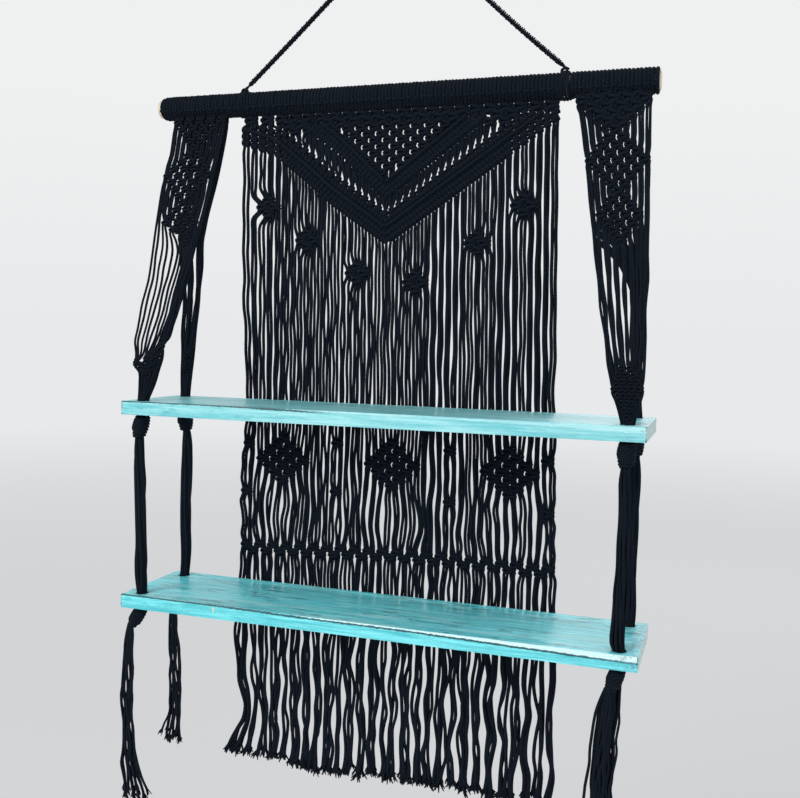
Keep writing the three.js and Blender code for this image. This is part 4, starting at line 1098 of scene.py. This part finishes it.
def paintFinish(name, top):
    f = Finish(bpy.data.materials.new(name + "_paint"))
    tones = paintTones[name]
    place = f.add("ShaderNodeTexCoord", {}, {}, 3)
    x, y, z = (f.add("ShaderNodeSeparateXYZ", {}, {0: place}, axis) for axis in range(3))
    grain, haze, region, smears, flecks, wear = (f.noise(f.stretch(place, scale), *look)
                                                 for scale, *look in paintNoise.values())
    left, right = boardSize["left"], boardSize["right"]
    down, back = top * mm - z, y - boardSize["front"] * mm
    onFront, onTop = (f.span(depth, 0.0006, 0.0014, 1.0, 0.0) for depth in (back, down))

    def endZone(low, high, *strengths):
        return f.span(x, low * mm, high * mm, *strengths)

    tone = f.span(grain * 0.75 + flecks * 0.25, 0.36, 0.64)
    front = f.mix(tone, *tones["front"])
    front = f.mix(f.span(smears, 0.53, 0.66) * f.span(x, 0.05, -0.26) * 0.75, front, tones["top"][0])
    front = f.mix(f.span(flecks, 0.60, 0.70) * 0.45, front, tones["top"][0])
    front = f.mix(f.span(flecks, 0.30, 0.40, 1.0, 0.0) * 0.55, front, paintMarks["pale"])
    face = f.mix(tone, *tones["top"])
    face = f.mix(f.span(haze, 0.46, 0.72) * 0.6, face, paintMarks["haze"])
    smeared = f.span(smears, 0.51, 0.64) * f.span(region, 0.44, 0.60) * (0.9 * tones["mark"])
    face = f.mix(smeared, face, paintMarks["dark"])
    nearEdge = f.span(back, 0.002, 0.024, 1.0, 0.0) * f.span(wear, 0.50, 0.64) * f.span(x, 0.05, -0.16)
    face = f.mix(nearEdge * (0.6 * tones["mark"]), face, paintMarks["dark"])
    colour = f.mix(onFront * (1.0 - onTop), face, front)
    # the dark line starts on the edge and drops down the front to the right; above it lies rubbed paint with a
    # painted highlight
    drop = f.span(x, -0.20, -0.03) * 0.0022 + f.span(x, 0.0, 0.33) * 0.0046
    gap = down - drop + (wear - 0.5) * 0.0034
    # pale band on the front's upper edge: partly rubbed paint, partly a painted highlight of the rounded edge
    rubbedAndHighlit = f.span(gap, -0.0008, -0.0001, 1.0, 0.0) * onFront * f.span(x, -0.10, -0.01)
    colour = f.mix(rubbedAndHighlit * f.span(flecks, 0.34, 0.46, 0.55, 1.0) * tones["rubAndHighlight"], colour, paintMarks["pale"])
    line = (f.span(gap * gap, 0.0006 ** 2, 0.0014 ** 2, 1.0, 0.0) * onFront
            * f.span(x, 0.31, 0.20, 0.55, tones["line"]))
    if name == "upper_board":  # there the line is faint right of the middle
        line = line * f.span(x, -0.02, -0.08, 0.12, 1.0)
    edge = f.span(back, 0.0008, 0.0026, 1.0, 0.0) * onTop * f.span(x, -0.04, -0.20)
    ends = endZone(left + 0.4, left + 1.8, 1.0, 0.0) + endZone(right - 1.8, right - 0.4)
    colour = f.mix(endZone(right - 0.8, right - 0.2) * 0.7, colour, paintMarks["endFace"])
    dark = f.span(line + edge + ends * f.span(wear, 0.34, 0.55) * onFront, 0.0, 0.9) * 0.92
    colour = f.mix(dark, colour, paintMarks["dark"])
    scuffed = endZone(right - 34, right - 5) * f.span(wear, 0.50, 0.60) * (0.6 * tones["mark"])
    colour = f.mix(scuffed, colour, paintMarks["scuff"])
    chipX, chipZ = (value - middle for value, middle in zip((x, z), paintMarks["chip"]))
    chipped = chipX * chipX * 2.0 + chipZ * chipZ * 0.4 + (wear - 0.5) * 0.000004
    colour = f.mix(f.span(chipped, 0.0000030, 0.0000046, 1.0, 0.0) * onFront, colour, paintMarks["bare"])
    height = grain + flecks * 0.5 + wear * 0.3
    bump = f.add("ShaderNodeBump", {}, {"Strength": 0.5, "Distance": 0.0004, "Height": height})
    return f.close({"Base Color": colour, "Roughness": f.span(haze, 0.3, 0.7, 0.30, 0.50),
                    "Specular IOR Level": 0.42, "Normal": bump})


for name, (top, body) in boards.items():
    wide, deep = boardSize["right"] - boardSize["left"], boardSize["rear"] - boardSize["front"]
    bpy.ops.object.select_all(action="DESELECT")
    bpy.ops.mesh.primitive_cube_add(size=1, location=(
        (boardSize["left"] + wide / 2) * mm, (boardSize["front"] + deep / 2) * mm,
        (top - boardSize["thick"] / 2) * mm))
    board = bpy.context.object
    board.scale = (wide * mm, deep * mm, boardSize["thick"] * mm)
    bpy.ops.object.transform_apply(location=True, rotation=True, scale=True)
    for holeX, holeY in corners.values():
        bpy.ops.object.select_all(action="DESELECT")
        bpy.ops.mesh.primitive_cylinder_add(vertices=40, radius=boardSize["hole"] * mm, depth=0.05,
                                            location=(holeX * mm, holeY * mm, top * mm))
        drill = bpy.context.object
        cut = board.modifiers.new("hole", "BOOLEAN")
        cut.object, cut.operation, cut.solver = drill, "DIFFERENCE", "EXACT"
        choose(board)
        bpy.ops.object.modifier_apply(modifier="hole")
        bpy.data.objects.remove(drill, do_unlink=True)
    soften(board, boardSize["edge"], 40, 35)
    finishPiece(board, name + "_painted", body, name, paintFinish(name, top))
print("dowel and boards built")

# Stage: pale floor, pale surroundings, soft light
stage = {"floorZ": -1.42, "floor": (0.80, 0.81, 0.82, 1), "near": (0.62, 0.63, 0.64, 1),
         "distant": (0.885, 0.895, 0.905, 1), "far": (0.80, 0.81, 0.82, 1), "sky": (0.865, 0.87, 0.875, 1),
         "ambient": (0.95, 0.97, 1.0, 1)}
bpy.ops.object.select_all(action="DESELECT")
bpy.ops.mesh.primitive_plane_add(size=60, location=(0, 0, stage["floorZ"]))
floor = bpy.context.object
floor.name = "floor"
ground = Finish(bpy.data.materials.new("floor"))
away = ground.add("ShaderNodeVectorMath", {"operation": "LENGTH"},
                  {0: ground.add("ShaderNodeTexCoord", {}, {}, 3)}, 1)
matte = ground.add("ShaderNodeBsdfDiffuse", {}, {"Color": stage["floor"]})
pale = ground.add("ShaderNodeEmission", {},
                  {"Color": ground.mix(ground.span(away, 1.0, 9.0), stage["near"], stage["distant"])})
both = ground.add("ShaderNodeMixShader", {}, {0: ground.add("ShaderNodeLightPath") * 0.8, 1: matte, 2: pale})
ground.add("ShaderNodeOutputMaterial", {}, {"Surface": both})
floor.data.materials.append(ground.owner)

# Camera and glossy rays see a pale backdrop that lightens upward; all others get the ambient light
world = bpy.data.worlds.new("studio")
bpy.context.scene.world = world
air = Finish(world)
seen = air.add("ShaderNodeMath", {"operation": "ADD", "use_clamp": True},
               {0: air.add("ShaderNodeLightPath", output="Is Camera Ray"),
                1: air.add("ShaderNodeLightPath", output="Is Glossy Ray")})
rise = air.add("ShaderNodeSeparateXYZ", {}, {0: air.add("ShaderNodeTexCoord")}, "Z")
ramp = air.add("ShaderNodeMapRange", {}, {"Value": rise, "From Min": -0.02, "From Max": 0.22})
ambient = air.add("ShaderNodeBackground", {}, {"Color": stage["ambient"], "Strength": 0.62})
backdrop = air.add("ShaderNodeBackground", {}, {"Color": air.mix(ramp, stage["far"], stage["sky"])})
sky = air.add("ShaderNodeMixShader", {}, {0: seen, 1: ambient, 2: backdrop})
air.add("ShaderNodeOutputWorld", {}, {"Surface": sky})

lamps = {"key": {"place": (-1.5, -2.4, 0.9), "size": 0.9, "power": 62, "tint": (1.0, 0.98, 0.94)},
         "fill": {"place": (2.2, -2.0, -0.2), "size": 2.0, "power": 22, "tint": (0.94, 0.97, 1.0)},
         "rear": {"place": (0.6, 2.6, 0.9), "size": 2.0, "power": 26, "tint": (1.0, 1.0, 1.0)}}
for name, lamp in lamps.items():
    bpy.ops.object.light_add(type="AREA", location=lamp["place"])
    light = bpy.context.object
    light.name = name
    light.data.size, light.data.energy, light.data.color = lamp["size"], lamp["power"], lamp["tint"]
    light.rotation_euler = (Vector((0, 0, -0.6)) - Vector(lamp["place"])).to_track_quat("-Z", "Y").to_euler()

bpy.context.scene.view_settings.view_transform = "Standard"
print("stage and light set")
